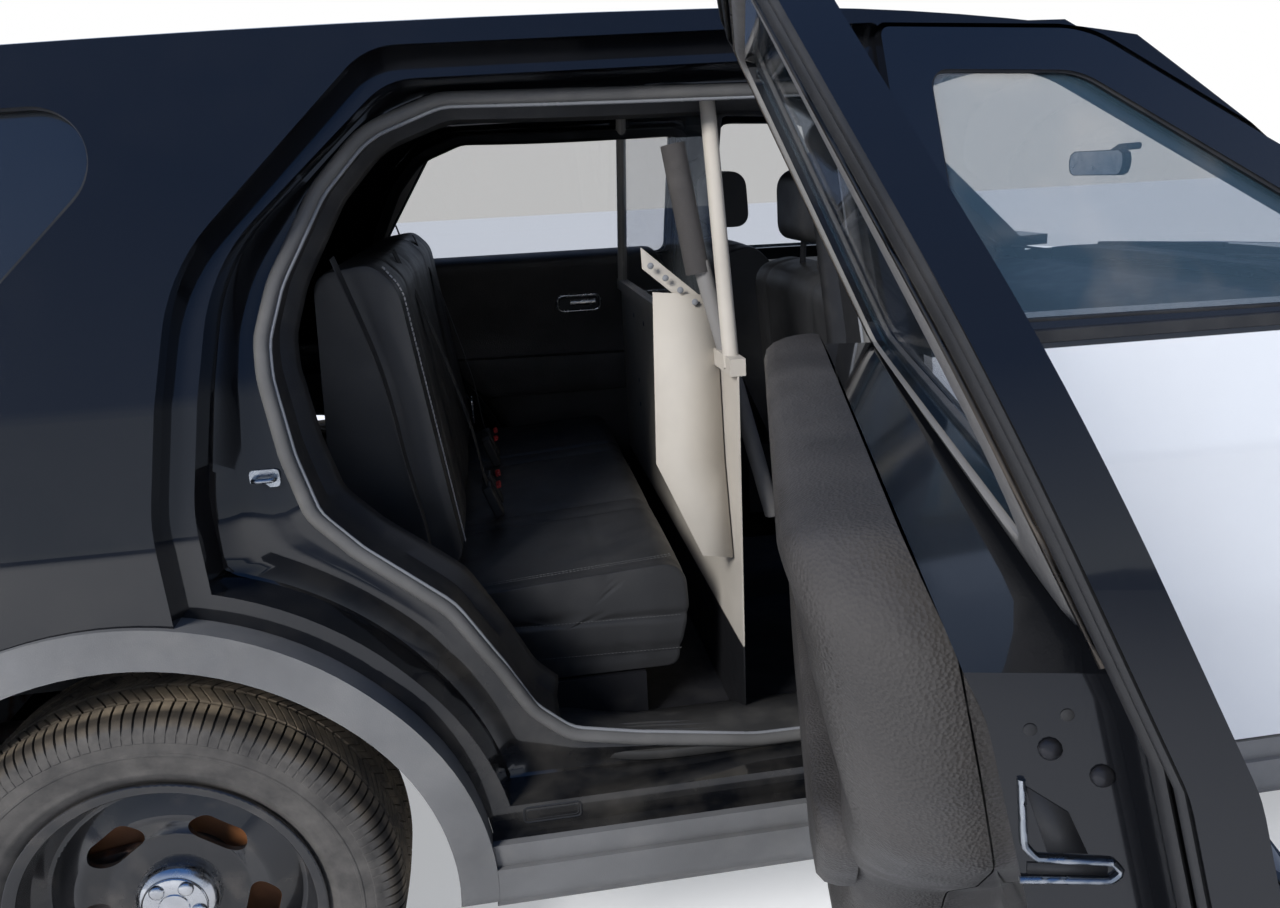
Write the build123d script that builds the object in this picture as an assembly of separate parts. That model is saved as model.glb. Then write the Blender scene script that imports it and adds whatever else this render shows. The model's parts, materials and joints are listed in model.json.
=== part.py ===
from build123d import *
import math
import os

# Police sport utility vehicle, whole, with its rear right door standing open.
# Millimetres. +X is forward, +Y is the vehicle's left, +Z is up from the ground.
# The origin is on the ground, on the centre plane, midway between the axles.

# Overall sizes
WHEELBASE = 2860.0
TRACK = 1702.0
BODY_WIDTH = 2004.0
FRONT_OVERHANG = 945.0
REAR_OVERHANG = 1200.0
ROOF_Z = 1758.0
BELT_Z = 1175.0
SILL_Z = 268.0

# Walls and clearances
SHUT_GAP = 7.0
SEAT_GAP = 0.3
SIDE_WALL = 70.0
ROOF_WALL = 45.0
END_WALL = 60.0
GLASS_T = 5.0
DOOR_SKIN = 30.0
DOOR_DEPTH = 104.0
OPENING_STEP = 40.0
DOOR_STEP = 62.0
STEP_CLEAR = 8.0
PANE_GAP = 0.6
TRIM_PROUD = 9.0

# Wheels, brakes and their carriers
TYRE_R = 363.5
TYRE_W = 245.0
RIM_FLANGE_R = 243.0
RIM_W = 229.0
HUB_R = 70.0
CAP_R = 62.0
DISC_R = 172.0
DISC_T = 26.0
ARCH_R = 452.0
ARCH_TRIM_R = 514.0

# Places along the vehicle
FRONT_AXLE_X = WHEELBASE / 2
REAR_AXLE_X = -WHEELBASE / 2
NOSE_X = FRONT_AXLE_X + FRONT_OVERHANG
TAIL_X = REAR_AXLE_X - REAR_OVERHANG
HALF_TRACK = TRACK / 2
HALF_W = BODY_WIDTH / 2
WINDSCREEN_FOOT_X = 1090.0
WINDSCREEN_DEG = 35.5
COWL_X = 1150.0
DOOR_FRONT_X = 905.0
B_PILLAR_X = -190.0
C_SHUT_X = -1330.0
DOOR_LOW_Z = 432.0
DOOR_TOP_Z = ROOF_Z - 94.0
FLOOR_Z = 420.0
FLOOR_T = 40.0
LOAD_FLOOR_Z = 640.0
DOOR_OPEN_DEG = 75.0
HINGE_BACK = 22.0
HINGE_IN = 24.0
HINGE_Z = (560.0, 900.0)
PIN_R = 4.0
SWING_CLEAR = 7.0
TAIL_LEAN_DEG = 17.0

# Body side in cross-section: height, half width less half the overall width, corner radius
SIDE_SECTION = [
    (150.0, -225.0, 0.0),
    (SILL_Z - 14, -98.0, 30.0),
    (SILL_Z + 45, -42.0, 40.0),
    (430.0, -22.0, 80.0),
    (720.0, 0.0, 500.0),
    (985.0, -12.0, 120.0),
    (BELT_Z, -54.0, 80.0),
    (BELT_Z + 750, -404.0, 0.0),
]

PLACE = {
    "x": lambda u, v, w: (w, u, v),
    "y": lambda u, v, w: (u, w, v),
    "z": lambda u, v, w: (u, v, w),
}
WAY = {"x": Vector(1, 0, 0), "y": Vector(0, 1, 0), "z": Vector(0, 0, 1)}
WIDE = 1300.0
REACH = 5000.0


def outline(points, axis, level):
    """Face across an axis, from corner points (u, v, corner radius) joined by lines and arcs."""
    put = PLACE[axis]

    def at(p):
        return Vector(*put(p[0], p[1], level))

    ends = []
    for i, (u, v, r) in enumerate(points):
        a = points[i - 1]
        b = points[(i + 1) % len(points)]
        p = Vector(a[0] - u, a[1] - v, 0)
        q = Vector(b[0] - u, b[1] - v, 0)
        turn = math.radians(p.get_angle(q))
        if r <= 0 or abs(turn - math.pi) < 1e-6:
            ends.append(((u, v), None, (u, v)))
            continue
        reach = min(r / math.tan(turn / 2), 0.49 * p.length, 0.49 * q.length)
        r = reach * math.tan(turn / 2)
        p = p.normalized()
        q = q.normalized()
        half = (p + q).normalized() * (r / math.sin(turn / 2) - r)
        start = (u + p.X * reach, v + p.Y * reach)
        end = (u + q.X * reach, v + q.Y * reach)
        ends.append((start, (u + half.X, v + half.Y), end))
    edges = []
    for i, (start, middle, end) in enumerate(ends):
        if middle:
            edges.append(Edge.make_three_point_arc(at(start), at(middle), at(end)))
        after = ends[(i + 1) % len(ends)][0]
        if math.hypot(after[0] - end[0], after[1] - end[1]) > 1e-3:
            edges.append(Edge.make_line(at(end), at(after)))
    return Face(Wire(edges))


def prism(points, axis, low, high):
    """Straight solid along an axis with a rounded outline."""
    return Solid.extrude(outline(points, axis, low), WAY[axis] * (high - low))


def box(x, y, z):
    """Plain block between two values on each axis."""
    return prism([(x[0], y[0], 0), (x[1], y[0], 0), (x[1], y[1], 0), (x[0], y[1], 0)], "z", *z)


def rod(start, end, radius):
    """Round bar between two points."""
    run = Vector(*end) - Vector(*start)
    return Solid.make_cylinder(radius, run.length, Plane(origin=Vector(*start), z_dir=run))


def across(radius, x, z, y0, y1):
    """Cylinder across the vehicle."""
    return rod((x, y0, z), (x, y1, z), radius)


def joined(solids):
    """One shape from overlapping solids."""
    first = solids[0]
    return first.fuse(*solids[1:]) if len(solids) > 1 else first


def whole(shape):
    """One shape from what a boolean step gives back."""
    if isinstance(shape, (list, ShapeList)):
        return Compound(children=list(shape)) if len(shape) > 1 else shape[0]
    return shape


def less(shape, *tools):
    """Shape with each of the tools taken out in turn."""
    for tool in tools:
        shape = whole(shape.cut(tool))
    return shape


def common(shape, *tools):
    """What shape shares with each of the tools in turn."""
    for tool in tools:
        shape = whole(shape.intersect(tool))
    return shape


def mirrored(shape):
    """The other side's copy."""
    return shape.mirror(Plane.XZ)


def side_half(inset):
    """Solid inboard of the right side's skin."""
    points = [(-(HALF_W + w) + inset, z, r) for z, w, r in SIDE_SECTION]
    points += [(WIDE, BELT_Z + 750, 0), (WIDE, 150, 0)]
    return prism(points, "x", TAIL_X - 120, NOSE_X + 120)


def side_solid(inset):
    """Solid between both sides' skins."""
    right = side_half(inset)
    return common(right, mirrored(right))


def crown(x0, x1, apex_x, apex_z, along_r, across_r, floor_z):
    """Solid under a skin that is arched along and across the vehicle."""
    drop = across_r - math.sqrt(across_r**2 - WIDE**2)
    left = Vector(apex_x, WIDE, apex_z - drop)
    right = Vector(apex_x, -WIDE, apex_z - drop)
    edges = [
        Edge.make_three_point_arc(right, Vector(apex_x, 0, apex_z), left),
        Edge.make_line(left, Vector(apex_x, WIDE, floor_z)),
        Edge.make_line(Vector(apex_x, WIDE, floor_z), Vector(apex_x, -WIDE, floor_z)),
        Edge.make_line(Vector(apex_x, -WIDE, floor_z), right),
    ]
    axis = Axis((apex_x, 0, apex_z - along_r), (0, 1, 0))
    first = math.degrees(math.asin((x0 - apex_x) / along_r))
    last = math.degrees(math.asin((x1 - apex_x) / along_r))
    return Solid.revolve(Face(Wire(edges)).rotate(axis, first), last - first, axis)


ROOF_APEX_X = -450.0


def roof_solid(inset):
    """Solid under the roof, which falls faster towards the windscreen than to the rear."""
    top = ROOF_Z - inset
    front = crown(ROOF_APEX_X, COWL_X + 250, ROOF_APEX_X, top, 4500 - inset, 4300 - inset, 900)
    rear = crown(TAIL_X - 270, ROOF_APEX_X, ROOF_APEX_X, top, 26000, 4300 - inset, 900)
    return joined([front, rear])


def leaning_cylinder(foot, degrees, radius, inset, sign):
    """Solid behind a bowed glass that leans from the upright, facing forward or rearward."""
    lean = math.radians(degrees)
    up = Vector(-sign * math.sin(lean), 0, math.cos(lean))
    inward = Vector(-sign * math.cos(lean), 0, -math.sin(lean))
    origin = Vector(*foot) + inward * radius - up * REACH
    return Solid.make_cylinder(radius - inset, 2 * REACH, Plane(origin=origin, z_dir=up))


def windscreen_solid(inset):
    """Solid behind the windscreen's outer face."""
    foot = (WINDSCREEN_FOOT_X, 0, BELT_Z)
    return leaning_cylinder(foot, 90 - WINDSCREEN_DEG, 2600, inset, 1)


def tail_solid(inset):
    """Solid ahead of the rear glass's outer face."""
    return leaning_cylinder((TAIL_X + 112, 0, BELT_Z), TAIL_LEAN_DEG, 3000, inset, -1)


def plan_solid(inset):
    """Solid inside the plan view, with round corners at nose and tail."""
    half = [
        (NOSE_X - 3 - inset, 560, 300),
        (NOSE_X - 185 - inset, 905 - inset, 420),
        (FRONT_AXLE_X - 180, 1100, 0),
        (REAR_AXLE_X - 870, 1100, 0),
        (TAIL_X + 190 + inset, 930 - inset, 260),
        (TAIL_X - 10 + inset, 560, 400),
    ]
    front = (NOSE_X + 10 - inset, 0, 0)
    rear = (TAIL_X - 25 + inset, 0, 0)
    return prism([front] + half + [rear] + [(x, -y, r) for x, y, r in reversed(half)], "z", 100, 1900)


def lower_profile(inset):
    """Solid inside the side view, below the windscreen."""
    points = [
        (TAIL_X + 70 + inset, SILL_Z - 2, 60),
        (TAIL_X - 2 + inset, 420, 60),
        (TAIL_X - 2 + inset, 690, 80),
        (TAIL_X + 70 + inset, BELT_Z + 15, 60),
        (TAIL_X + 70 + inset, BELT_Z + 35, 0),
        (COWL_X, BELT_Z + 22, 0),
        (NOSE_X - 115 - inset, BELT_Z + 22, 0),
        (NOSE_X - 113 - inset, 985, 70),
        (NOSE_X - 23 - inset, 760, 120),
        (NOSE_X + 3 - inset, 480, 80),
        (NOSE_X - 85 - inset, 232, 50),
    ]
    return prism(points, "y", -WIDE, WIDE)


HOOD_APEX_X = 1000.0


def hood_solid(inset):
    """Solid under the hood's skin and, behind it, under the belt."""
    top = BELT_Z + 22 - inset
    hood = crown(HOOD_APEX_X, NOSE_X + 300, HOOD_APEX_X, top, 4800 - inset, 6500 - inset, 0)
    rear = prism(
        [(HOOD_APEX_X, 0, 0), (HOOD_APEX_X, top + 8, 0), (TAIL_X - 270, top + 43, 0), (TAIL_X - 270, 0, 0)],
        "y", -WIDE, WIDE,
    )
    return joined([hood, rear])


def envelope(side, top, end):
    """The whole vehicle's outer form, set in by a wall at the sides, the top and the ends."""
    sides = common(side_solid(side), plan_solid(end))
    lower = common(sides, lower_profile(end), hood_solid(top))
    slab = box((TAIL_X - 250, COWL_X + 250), (-WIDE, WIDE), (BELT_Z - 150, ROOF_Z + 100))
    upper = common(sides, slab, roof_solid(top), windscreen_solid(top), tail_solid(end))
    return joined([lower, upper])


# Side view outlines of the doors and windows: x, z, corner radius
def front_door_outline(grow):
    """Front door: hinge edge, windscreen pillar, roof rail and centre pillar."""
    return [
        (DOOR_FRONT_X + grow, DOOR_LOW_Z - grow, 60),
        (DOOR_FRONT_X + grow, BELT_Z - 6 + grow * 0.5, 30),
        (170 + grow * 0.5, DOOR_TOP_Z - 13 + grow, 180),
        (B_PILLAR_X + SHUT_GAP / 2 - grow, DOOR_TOP_Z + grow, 15),
        (B_PILLAR_X + SHUT_GAP / 2 - grow, DOOR_LOW_Z - grow, 40),
    ]


def rear_door_outline(grow):
    """Rear door: centre pillar, roof rail and the curve of the rear pillar."""
    return [
        (B_PILLAR_X - SHUT_GAP / 2 + grow, DOOR_LOW_Z - grow, 40),
        (B_PILLAR_X - SHUT_GAP / 2 + grow, DOOR_TOP_Z + grow, 15),
        (C_SHUT_X + 335 - grow * 0.5, DOOR_TOP_Z - 12 + grow, 110),
        (C_SHUT_X + 45 - grow, BELT_Z + 180, 260),
        (C_SHUT_X - grow, BELT_Z - 150, 250),
        (C_SHUT_X + 30 - grow, DOOR_LOW_Z - grow, 40),
    ]


def front_window_outline(grow):
    """Front door's glass opening."""
    return [
        (745 + grow, BELT_Z + 20 - grow, 40),
        (145 + grow * 0.5, DOOR_TOP_Z - 80 + grow, 130),
        (B_PILLAR_X + 75 - grow, DOOR_TOP_Z - 70 + grow, 30),
        (B_PILLAR_X + 75 - grow, BELT_Z + 28 - grow, 30),
    ]


def rear_window_outline(grow):
    """Rear door's glass opening."""
    return [
        (B_PILLAR_X - 75 + grow, BELT_Z + 28 - grow, 30),
        (B_PILLAR_X - 75 + grow, DOOR_TOP_Z - 70 + grow, 30),
        (C_SHUT_X + 370 - grow * 0.5, DOOR_TOP_Z - 80 + grow, 70),
        (C_SHUT_X + 130 - grow, BELT_Z + 50 - grow, 60),
    ]


def quarter_window_outline(grow):
    """Fixed glass behind the rear door."""
    return [
        (C_SHUT_X - 290 + grow * 1.2, BELT_Z + 60 - grow, 40),
        (C_SHUT_X + 45 + grow * 0.6, DOOR_TOP_Z - 70 + grow, 80),
        (REAR_AXLE_X - 720 - grow, DOOR_TOP_Z - 95 + grow, 90),
        (REAR_AXLE_X - 800 - grow, BELT_Z + 75 - grow, 60),
    ]


def right_prism(points):
    """Cutter through the right side only."""
    return prism(points, "y", -WIDE, -300)


OUTER = envelope(0, 0, 0)
INNER = envelope(SIDE_WALL, ROOF_WALL, END_WALL)
WALL = less(OUTER, INNER)

# Shut lines of the fixed and hinged panels
ROOF_EDGE_Y = 585.0
ABOVE_GLASS = (ROOF_Z - 258.0, ROOF_Z + 42.0)
HEADER_X = 330.0
LIFTGATE_TOP_X = TAIL_X + 330
LIFTGATE_HINGE_Z = ROOF_Z - 58.0
SIDE_FRONT_X = DOOR_FRONT_X + SHUT_GAP
REAR_BUMPER_Z = 700.0
BUMPER_TOP_Z = 757.0
HOOD_FRONT_Z = 951.0
PLATE_X = TAIL_X + 48
PLATE_Z = 880.0
PLATE_W = 340.0
PLATE_H = 175.0
PLATE_HOLES = 177.8
PLATE_HOLE_R = 3.2
SPOILER_X = TAIL_X + 165
SPOILER_T = 24.0
ARCH_LOW_Z = SILL_Z + 38
PILLAR_FOOT_Z = BELT_Z - 10
REAR_LINER_Y = 600.0
FRONT_LINER_Y = 660.0
LINER_T = 8.0
CLADDING_T = 14.0
CLADDING_TOP_Z = DOOR_LOW_Z - SHUT_GAP

# Inner structure
FIREWALL_X = 925.0
SEAT_KICK_X = -1010.0
RAIL_Y = 400.0
RAIL_W = 90.0
RAIL_Z = 470.0
FLOOR_HALF_W = HALF_W - 165 - SEAT_GAP
TOWER_Z = 820.0
PARTITION_X = -440.0
PARTITION_TOP_Z = ROOF_Z - 140.0
COLUMN_DEG = 25.0
STEERING_WHEEL = (400.0, 380.0, 985.0)

# Hinge axes of the right doors
HINGE_Y = -HALF_W + HINGE_IN
FRONT_HINGE_X = DOOR_FRONT_X - HINGE_BACK
REAR_HINGE_X = B_PILLAR_X - SHUT_GAP / 2 - HINGE_BACK
HINGE_LEAF = 5.0
HINGE_TALL = 14.0

# Hinge pins of the hood and the liftgate, on both sides of the centre plane
HOOD_HINGE = (COWL_X + 10, BELT_Z - 23)
HOOD_HINGE_Y = 300.0
HOOD_OPEN_DEG = 50.0
HOOD_SWING_H = 60.0
GATE_EDGE_R = 16.0
GATE_HINGE = (LIFTGATE_TOP_X - GATE_EDGE_R, LIFTGATE_HINGE_Z - 24)
GATE_HINGE_Y = 150.0

SKINS = {
    "proud": side_half(-TRIM_PROUD),
    "outer": side_half(0),
    "cladding": side_half(CLADDING_T),
    "behind cladding": side_half(CLADDING_T + SEAT_GAP),
    "glass out": side_half(16),
    "glass in": side_half(16 + GLASS_T),
    "skin": side_half(DOOR_SKIN),
    "recess": side_half(DOOR_SKIN + STEP_CLEAR),
    "depth": side_half(DOOR_DEPTH),
    "trim out": side_half(DOOR_DEPTH + SEAT_GAP),
    "trim in": side_half(DOOR_DEPTH + 34),
    "jamb": side_half(DOOR_DEPTH + 24),
    "armrest": side_half(DOOR_DEPTH + 85),
}


def layer(outer, inner, *zones):
    """Part of the right side between two skins, inside side view zones."""
    return less(common(SKINS[outer], *zones), SKINS[inner])


def right(x, z):
    """Block through the right side."""
    return box(x, (-WIDE, 0), z)


def hood_zone(grow):
    """Upright zone inside the hood's shut lines, seen from above."""
    half = [
        (NOSE_X + 100, 690 + grow, 0),
        (NOSE_X - 220, 735 + grow, 260),
        (COWL_X + 10 - grow, 812 + grow, 40),
    ]
    points = half + [(x, -y, r) for x, y, r in reversed(half)]
    return prism(points, "z", HOOD_FRONT_Z - grow, ROOF_Z)


def liftgate_zone(grow):
    """Zone behind the liftgate's shut lines, seen from the rear."""
    half = [
        (655 + grow, REAR_BUMPER_Z + SHUT_GAP - grow, 40),
        (700 + grow, 930, 40),
        (790 + grow, BELT_Z + 20, 60),
        (640 + grow, ROOF_Z - 90, 60),
        (600 + grow, ROOF_Z + 40, 0),
    ]
    points = half + [(-y, z, r) for y, z, r in reversed(half)]
    return prism(points, "x", TAIL_X - 200, LIFTGATE_TOP_X + grow)


def rear_window_zone(grow):
    """Glass opening of the liftgate, seen from the rear."""
    half = [(640 + grow, BELT_Z + 45 - grow, 70), (535 + grow, ROOF_Z - 140 + grow, 70)]
    points = half + [(-y, z, r) for y, z, r in reversed(half)]
    return prism(points, "x", TAIL_X - 200, LIFTGATE_TOP_X + 200)


def windscreen_zone(grow):
    """Zone of the windscreen between its pillars, from the cowl to the header, seen from above."""
    half = [
        (COWL_X + 100, 770 + grow, 0),
        (WINDSCREEN_FOOT_X - 10, 770 + grow, 30),
        (HEADER_X + 20 - grow, 575 + grow, 60),
    ]
    points = half + [(HEADER_X - grow, 0, 0)] + [(x, -y, r) for x, y, r in reversed(half)]
    return prism(points, "z", PILLAR_FOOT_Z - grow, ROOF_Z)


def headlamp_zone(grow):
    """Right headlamp, seen from the front."""
    return prism(
        [
            (-490 + grow, 795 - grow, 25),
            (-1050, 818 - grow, 0),
            (-1050, 948 + grow, 0),
            (-490 + grow, 925 + grow, 25),
        ],
        "x", NOSE_X - 330 - grow, NOSE_X + 100,
    )


def tail_lamp_zone(grow):
    """Right tail lamp, seen from the rear, wrapped round the corner."""
    return box((TAIL_X - 100, TAIL_X + 215 + grow), (-WIDE, -500), (850 - grow, 1120 + grow))


def grille_zone(grow):
    """Six-sided grille opening, seen from the front."""
    half = [(400 + grow, 560 - grow, 40), (470 + grow, 720, 40), (440 + grow, 935 + grow, 40)]
    points = half + [(-y, z, r) for y, z, r in reversed(half)]
    return prism(points, "x", NOSE_X - 300, NOSE_X + 100)


def front_bumper_zone(grow):
    """Everything of the nose below the lamps."""
    return box((FRONT_AXLE_X + 300 - grow, NOSE_X + 100), (-WIDE, WIDE), (0, BUMPER_TOP_Z + grow))


def rear_bumper_zone(grow):
    """Everything behind the rear wheels and below the liftgate."""
    return box((TAIL_X - 100, REAR_AXLE_X - 300 + grow), (-WIDE, WIDE), (0, REAR_BUMPER_Z + grow))


def arch_round(axle_x, radius):
    """Round wheel opening through the right side."""
    return across(radius, axle_x, TYRE_R, -WIDE, -300)


def sector(centre, radius, first, last, axis, low, high):
    """Wedge about a point between two angles in degrees."""
    put = PLACE[axis]

    def at(r, degrees):
        turn = math.radians(degrees)
        return Vector(*put(centre[0] + r * math.cos(turn), centre[1] + r * math.sin(turn), low))

    middle = (first + last) / 2
    edges = [
        Edge.make_line(at(0, 0), at(radius, first)),
        Edge.make_three_point_arc(at(radius, first), at(radius, middle), at(radius, last)),
        Edge.make_line(at(radius, last), at(0, 0)),
    ]
    return Solid.extrude(Face(Wire(edges)), WAY[axis] * (high - low))


def outer_corner(w):
    """Distance outboard of the hinge axis to the outer corner of a door's front edge."""
    return max(0.0, HINGE_IN + w)


def both_corners(w):
    """Distance from the hinge axis to the further corner of a door's front edge."""
    return max(HINGE_IN + w, DOOR_SKIN - HINGE_IN - w)


def swing_space(hinge_x, reach):
    """Round space about a door's hinge axis that its front edge sweeps."""
    depths = [(z, reach(w)) for z, w, r in SIDE_SECTION[3:7]]
    profile = [(math.hypot(HINGE_BACK, d) + SWING_CLEAR, z) for z, d in depths]
    low = (profile[0][0], DOOR_LOW_Z - 30)
    high = (profile[-1][0], BELT_Z + 40)
    points = [(0, low[1]), low] + profile + [high, (0, high[1])]
    face = outline([(r, z, 0) for r, z in points], "y", 0)
    return Solid.revolve(face, 360, Axis((0, 0, 0), (0, 0, 1))).moved(Location((hinge_x, HINGE_Y, 0)))


def hinge_leaves(hinge_x):
    """Leaves and pins of a right door's two hinges, standing out of the pillar."""
    solids = []
    for z in HINGE_Z:
        leaf_z = (z - HINGE_TALL, z + HINGE_TALL)
        solids.append(box((hinge_x - HINGE_LEAF, hinge_x + HINGE_LEAF), (HINGE_Y, HINGE_Y + 55), leaf_z))
        solids.append(rod((hinge_x, HINGE_Y, z - 34), (hinge_x, HINGE_Y, z + 34), PIN_R))
    return solids


def hinge_pockets(hinge_x):
    """Pin holes and leaf pockets in a right door's front edge."""
    solids = []
    at = (hinge_x, HINGE_Y)
    for z in HINGE_Z:
        low = z - HINGE_TALL - 2
        high = z + HINGE_TALL + 2
        solids.append(sector(at, 50, -32, 145, "z", low, high))
        solids.append(rod((*at, low), (*at, high), HINGE_LEAF + 2.5))
        solids.append(rod((*at, z - 36), (*at, z + 36), PIN_R + SEAT_GAP))
    return solids


def roof_cut():
    """Zone over the cabin that belongs to the roof skin."""
    return box((LIFTGATE_TOP_X - 400, COWL_X), (-ROOF_EDGE_Y - SEAT_GAP, WIDE), (1400, ROOF_Z + 50))


JACK_X = 750.0
JACK_Y = HALF_W - 140
JACK_Z = 250.0


def rocker():
    """Hollow sill under the doors, behind the cladding."""
    length = (REAR_AXLE_X + ARCH_TRIM_R - 30, SIDE_FRONT_X)
    beam = box(length, (-HALF_W, -HALF_W + 165), (SILL_Z + 18, FLOOR_Z + 52))
    outer = common(SKINS["behind cladding"], beam)
    hollow = box((length[0] - 5, length[1] + 5), (-HALF_W + 100, -HALF_W + 150), (SILL_Z + 34, FLOOR_Z + 30))
    pads = []
    for x in (-JACK_X, JACK_X):
        pads.append(box((x - 40, x + 40), (-JACK_Y - 20, -JACK_Y + 20), (JACK_Z, SILL_Z + 20)))
    return joined([less(outer, hollow)] + pads)


def jamb():
    """Inner ring round both door openings, which the doors' steps shut against."""
    zone = prism(
        [
            (SIDE_FRONT_X, CLADDING_TOP_Z, 0),
            (SIDE_FRONT_X, BELT_Z + 20, 0),
            (160, DOOR_TOP_Z + 8, 0),
            (C_SHUT_X + 310, DOOR_TOP_Z + 8, 0),
            (C_SHUT_X - 40, BELT_Z + 190, 0),
            (C_SHUT_X - 60, BELT_Z - 150, 0),
            (C_SHUT_X - 40, CLADDING_TOP_Z, 0),
        ],
        "y", -WIDE, -300,
    )
    return layer("recess", "jamb", zone)


def make_body_side():
    """Right body side: pillars, roof rail, sill and quarter panel."""
    front = right((SIDE_FRONT_X - 200, WINDSCREEN_FOOT_X + 60), (PILLAR_FOOT_Z, ROOF_Z + 50))
    main = right((TAIL_X - 50, SIDE_FRONT_X), (CLADDING_TOP_Z, ROOF_Z + 50))
    wall = common(WALL, joined([front, main]))
    side = joined([wall, jamb(), rocker()])
    side = less(side, roof_cut(), liftgate_zone(SHUT_GAP), windscreen_zone(0), hood_zone(SHUT_GAP))
    arch = arch_round(REAR_AXLE_X, ARCH_TRIM_R + SEAT_GAP)
    keep = arch_round(REAR_AXLE_X, ARCH_TRIM_R + OPENING_STEP)
    for outline_of in (front_door_outline, rear_door_outline):
        recess = less(common(SKINS["outer"], right_prism(outline_of(SHUT_GAP))), SKINS["recess"])
        way_through = less(right_prism(outline_of(-OPENING_STEP)), keep)
        side = less(side, recess, way_through)
    side = less(side, right_prism(quarter_window_outline(0)), arch)
    side = less(side, rear_bumper_zone(SEAT_GAP), tail_lamp_zone(SEAT_GAP))
    for hinge_x in (FRONT_HINGE_X, REAR_HINGE_X):
        side = joined([less(side, swing_space(hinge_x, both_corners))] + hinge_leaves(hinge_x))
    return side


def make_roof():
    """Roof skin between its side rails, the windscreen header and the liftgate."""
    zone = box((LIFTGATE_TOP_X + SHUT_GAP, HEADER_X + 80), (-ROOF_EDGE_Y, ROOF_EDGE_Y), ABOVE_GLASS)
    roof = less(common(WALL, zone), windscreen_zone(0))
    x, z = GATE_HINGE
    leaves = []
    for y in (-GATE_HINGE_Y, GATE_HINGE_Y):
        leaves.append(box((x, LIFTGATE_TOP_X + 15), (y - 14, y + 14), (z - HINGE_LEAF, z + HINGE_LEAF)))
        leaves.append(rod((x, y - 34, z), (x, y + 34, z), PIN_R))
    return joined([roof] + leaves)


def make_fender():
    """Right front fender, from the door's shut line to the headlamp."""
    zone = right((SIDE_FRONT_X + SEAT_GAP, NOSE_X), (CLADDING_TOP_Z, BELT_Z + 40))
    over = right((0, WINDSCREEN_FOOT_X + 60 + SEAT_GAP), (PILLAR_FOOT_Z - SEAT_GAP, ROOF_Z))
    cowl = box((0, COWL_X + 4), (-815 - SHUT_GAP, 0), (0, ROOF_Z))
    fender = less(common(WALL, zone), hood_zone(SHUT_GAP), over, cowl, headlamp_zone(SEAT_GAP))
    fender = less(fender, front_bumper_zone(SEAT_GAP), grille_zone(SEAT_GAP))
    arch = arch_round(FRONT_AXLE_X, ARCH_TRIM_R + SEAT_GAP)
    return less(fender, arch, swing_space(FRONT_HINGE_X, outer_corner))


def make_front_bumper():
    """Front bumper cover under the lamps, round the grille and to both wheel arches."""
    zone = less(front_bumper_zone(0), grille_zone(SEAT_GAP))
    arch = arch_round(FRONT_AXLE_X, ARCH_TRIM_R + SEAT_GAP)
    intake = prism(
        [(-520, 320, 30), (520, 320, 30), (470, 450, 30), (-470, 450, 30)],
        "x", NOSE_X - 30, NOSE_X + 100,
    )
    return less(common(WALL, zone), arch, mirrored(arch), intake)


def make_rear_bumper():
    """Rear bumper cover from one rear wheel arch to the other, with its step."""
    arch = arch_round(REAR_AXLE_X, ARCH_TRIM_R + SEAT_GAP)
    return less(common(WALL, rear_bumper_zone(0)), arch, mirrored(arch))


def make_grille():
    """Six-sided grille with three bars in front of its backing."""
    grille = common(WALL, grille_zone(0))
    grille = less(grille, hood_zone(SHUT_GAP))
    slots = []
    for low in (600, 690, 780, 870):
        slots.append(box((NOSE_X - 200, NOSE_X + 50), (-400, 400), (low, low + 50)))
    return less(grille, *[less(slot, lower_profile(38)) for slot in slots])


def make_headlamp():
    """Right headlamp."""
    return less(common(WALL, headlamp_zone(0)), hood_zone(SHUT_GAP))


def make_tail_lamp():
    """Right tail lamp."""
    return less(common(WALL, tail_lamp_zone(0)), liftgate_zone(SHUT_GAP))


def make_arch_trim(axle_x, inner_y):
    """Right wheel arch trim, proud of the panels, with its liner round the wheel."""
    ring = common(SKINS["proud"], across(ARCH_TRIM_R, axle_x, TYRE_R, -WIDE, -800))
    ring = less(ring, SKINS["recess"])
    liner = across(ARCH_R + LINER_T, axle_x, TYRE_R, -HALF_W + 20, -inner_y)
    trim = joined([ring, common(liner, SKINS["outer"])])
    below = box((axle_x - 900, axle_x + 900), (-WIDE, 0), (-200, ARCH_LOW_Z))
    return less(trim, arch_round(axle_x, ARCH_R), below)


def make_sill_cladding():
    """Cladding of the right sill, between the wheel arch trims."""
    length = (REAR_AXLE_X + 300, FRONT_AXLE_X - 300)
    strip = layer("outer", "cladding", right(length, (SILL_Z, CLADDING_TOP_Z)))
    foot = layer("proud", "cladding", right(length, (SILL_Z, CLADDING_TOP_Z - 45)))
    strip = joined([strip, foot])
    rear = arch_round(REAR_AXLE_X, ARCH_TRIM_R + SEAT_GAP)
    return less(strip, rear, arch_round(FRONT_AXLE_X, ARCH_TRIM_R + SEAT_GAP))


def make_windscreen():
    """Windscreen."""
    pane = common(OUTER, windscreen_zone(-PANE_GAP), windscreen_solid(0))
    return less(pane, windscreen_solid(GLASS_T))


def make_quarter_glass():
    """Right fixed glass behind the rear door."""
    return layer("glass out", "glass in", right_prism(quarter_window_outline(-PANE_GAP)))


def make_door_glass(window_outline):
    """Glass of a right door."""
    return layer("glass out", "glass in", right_prism(window_outline(-PANE_GAP)))


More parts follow.
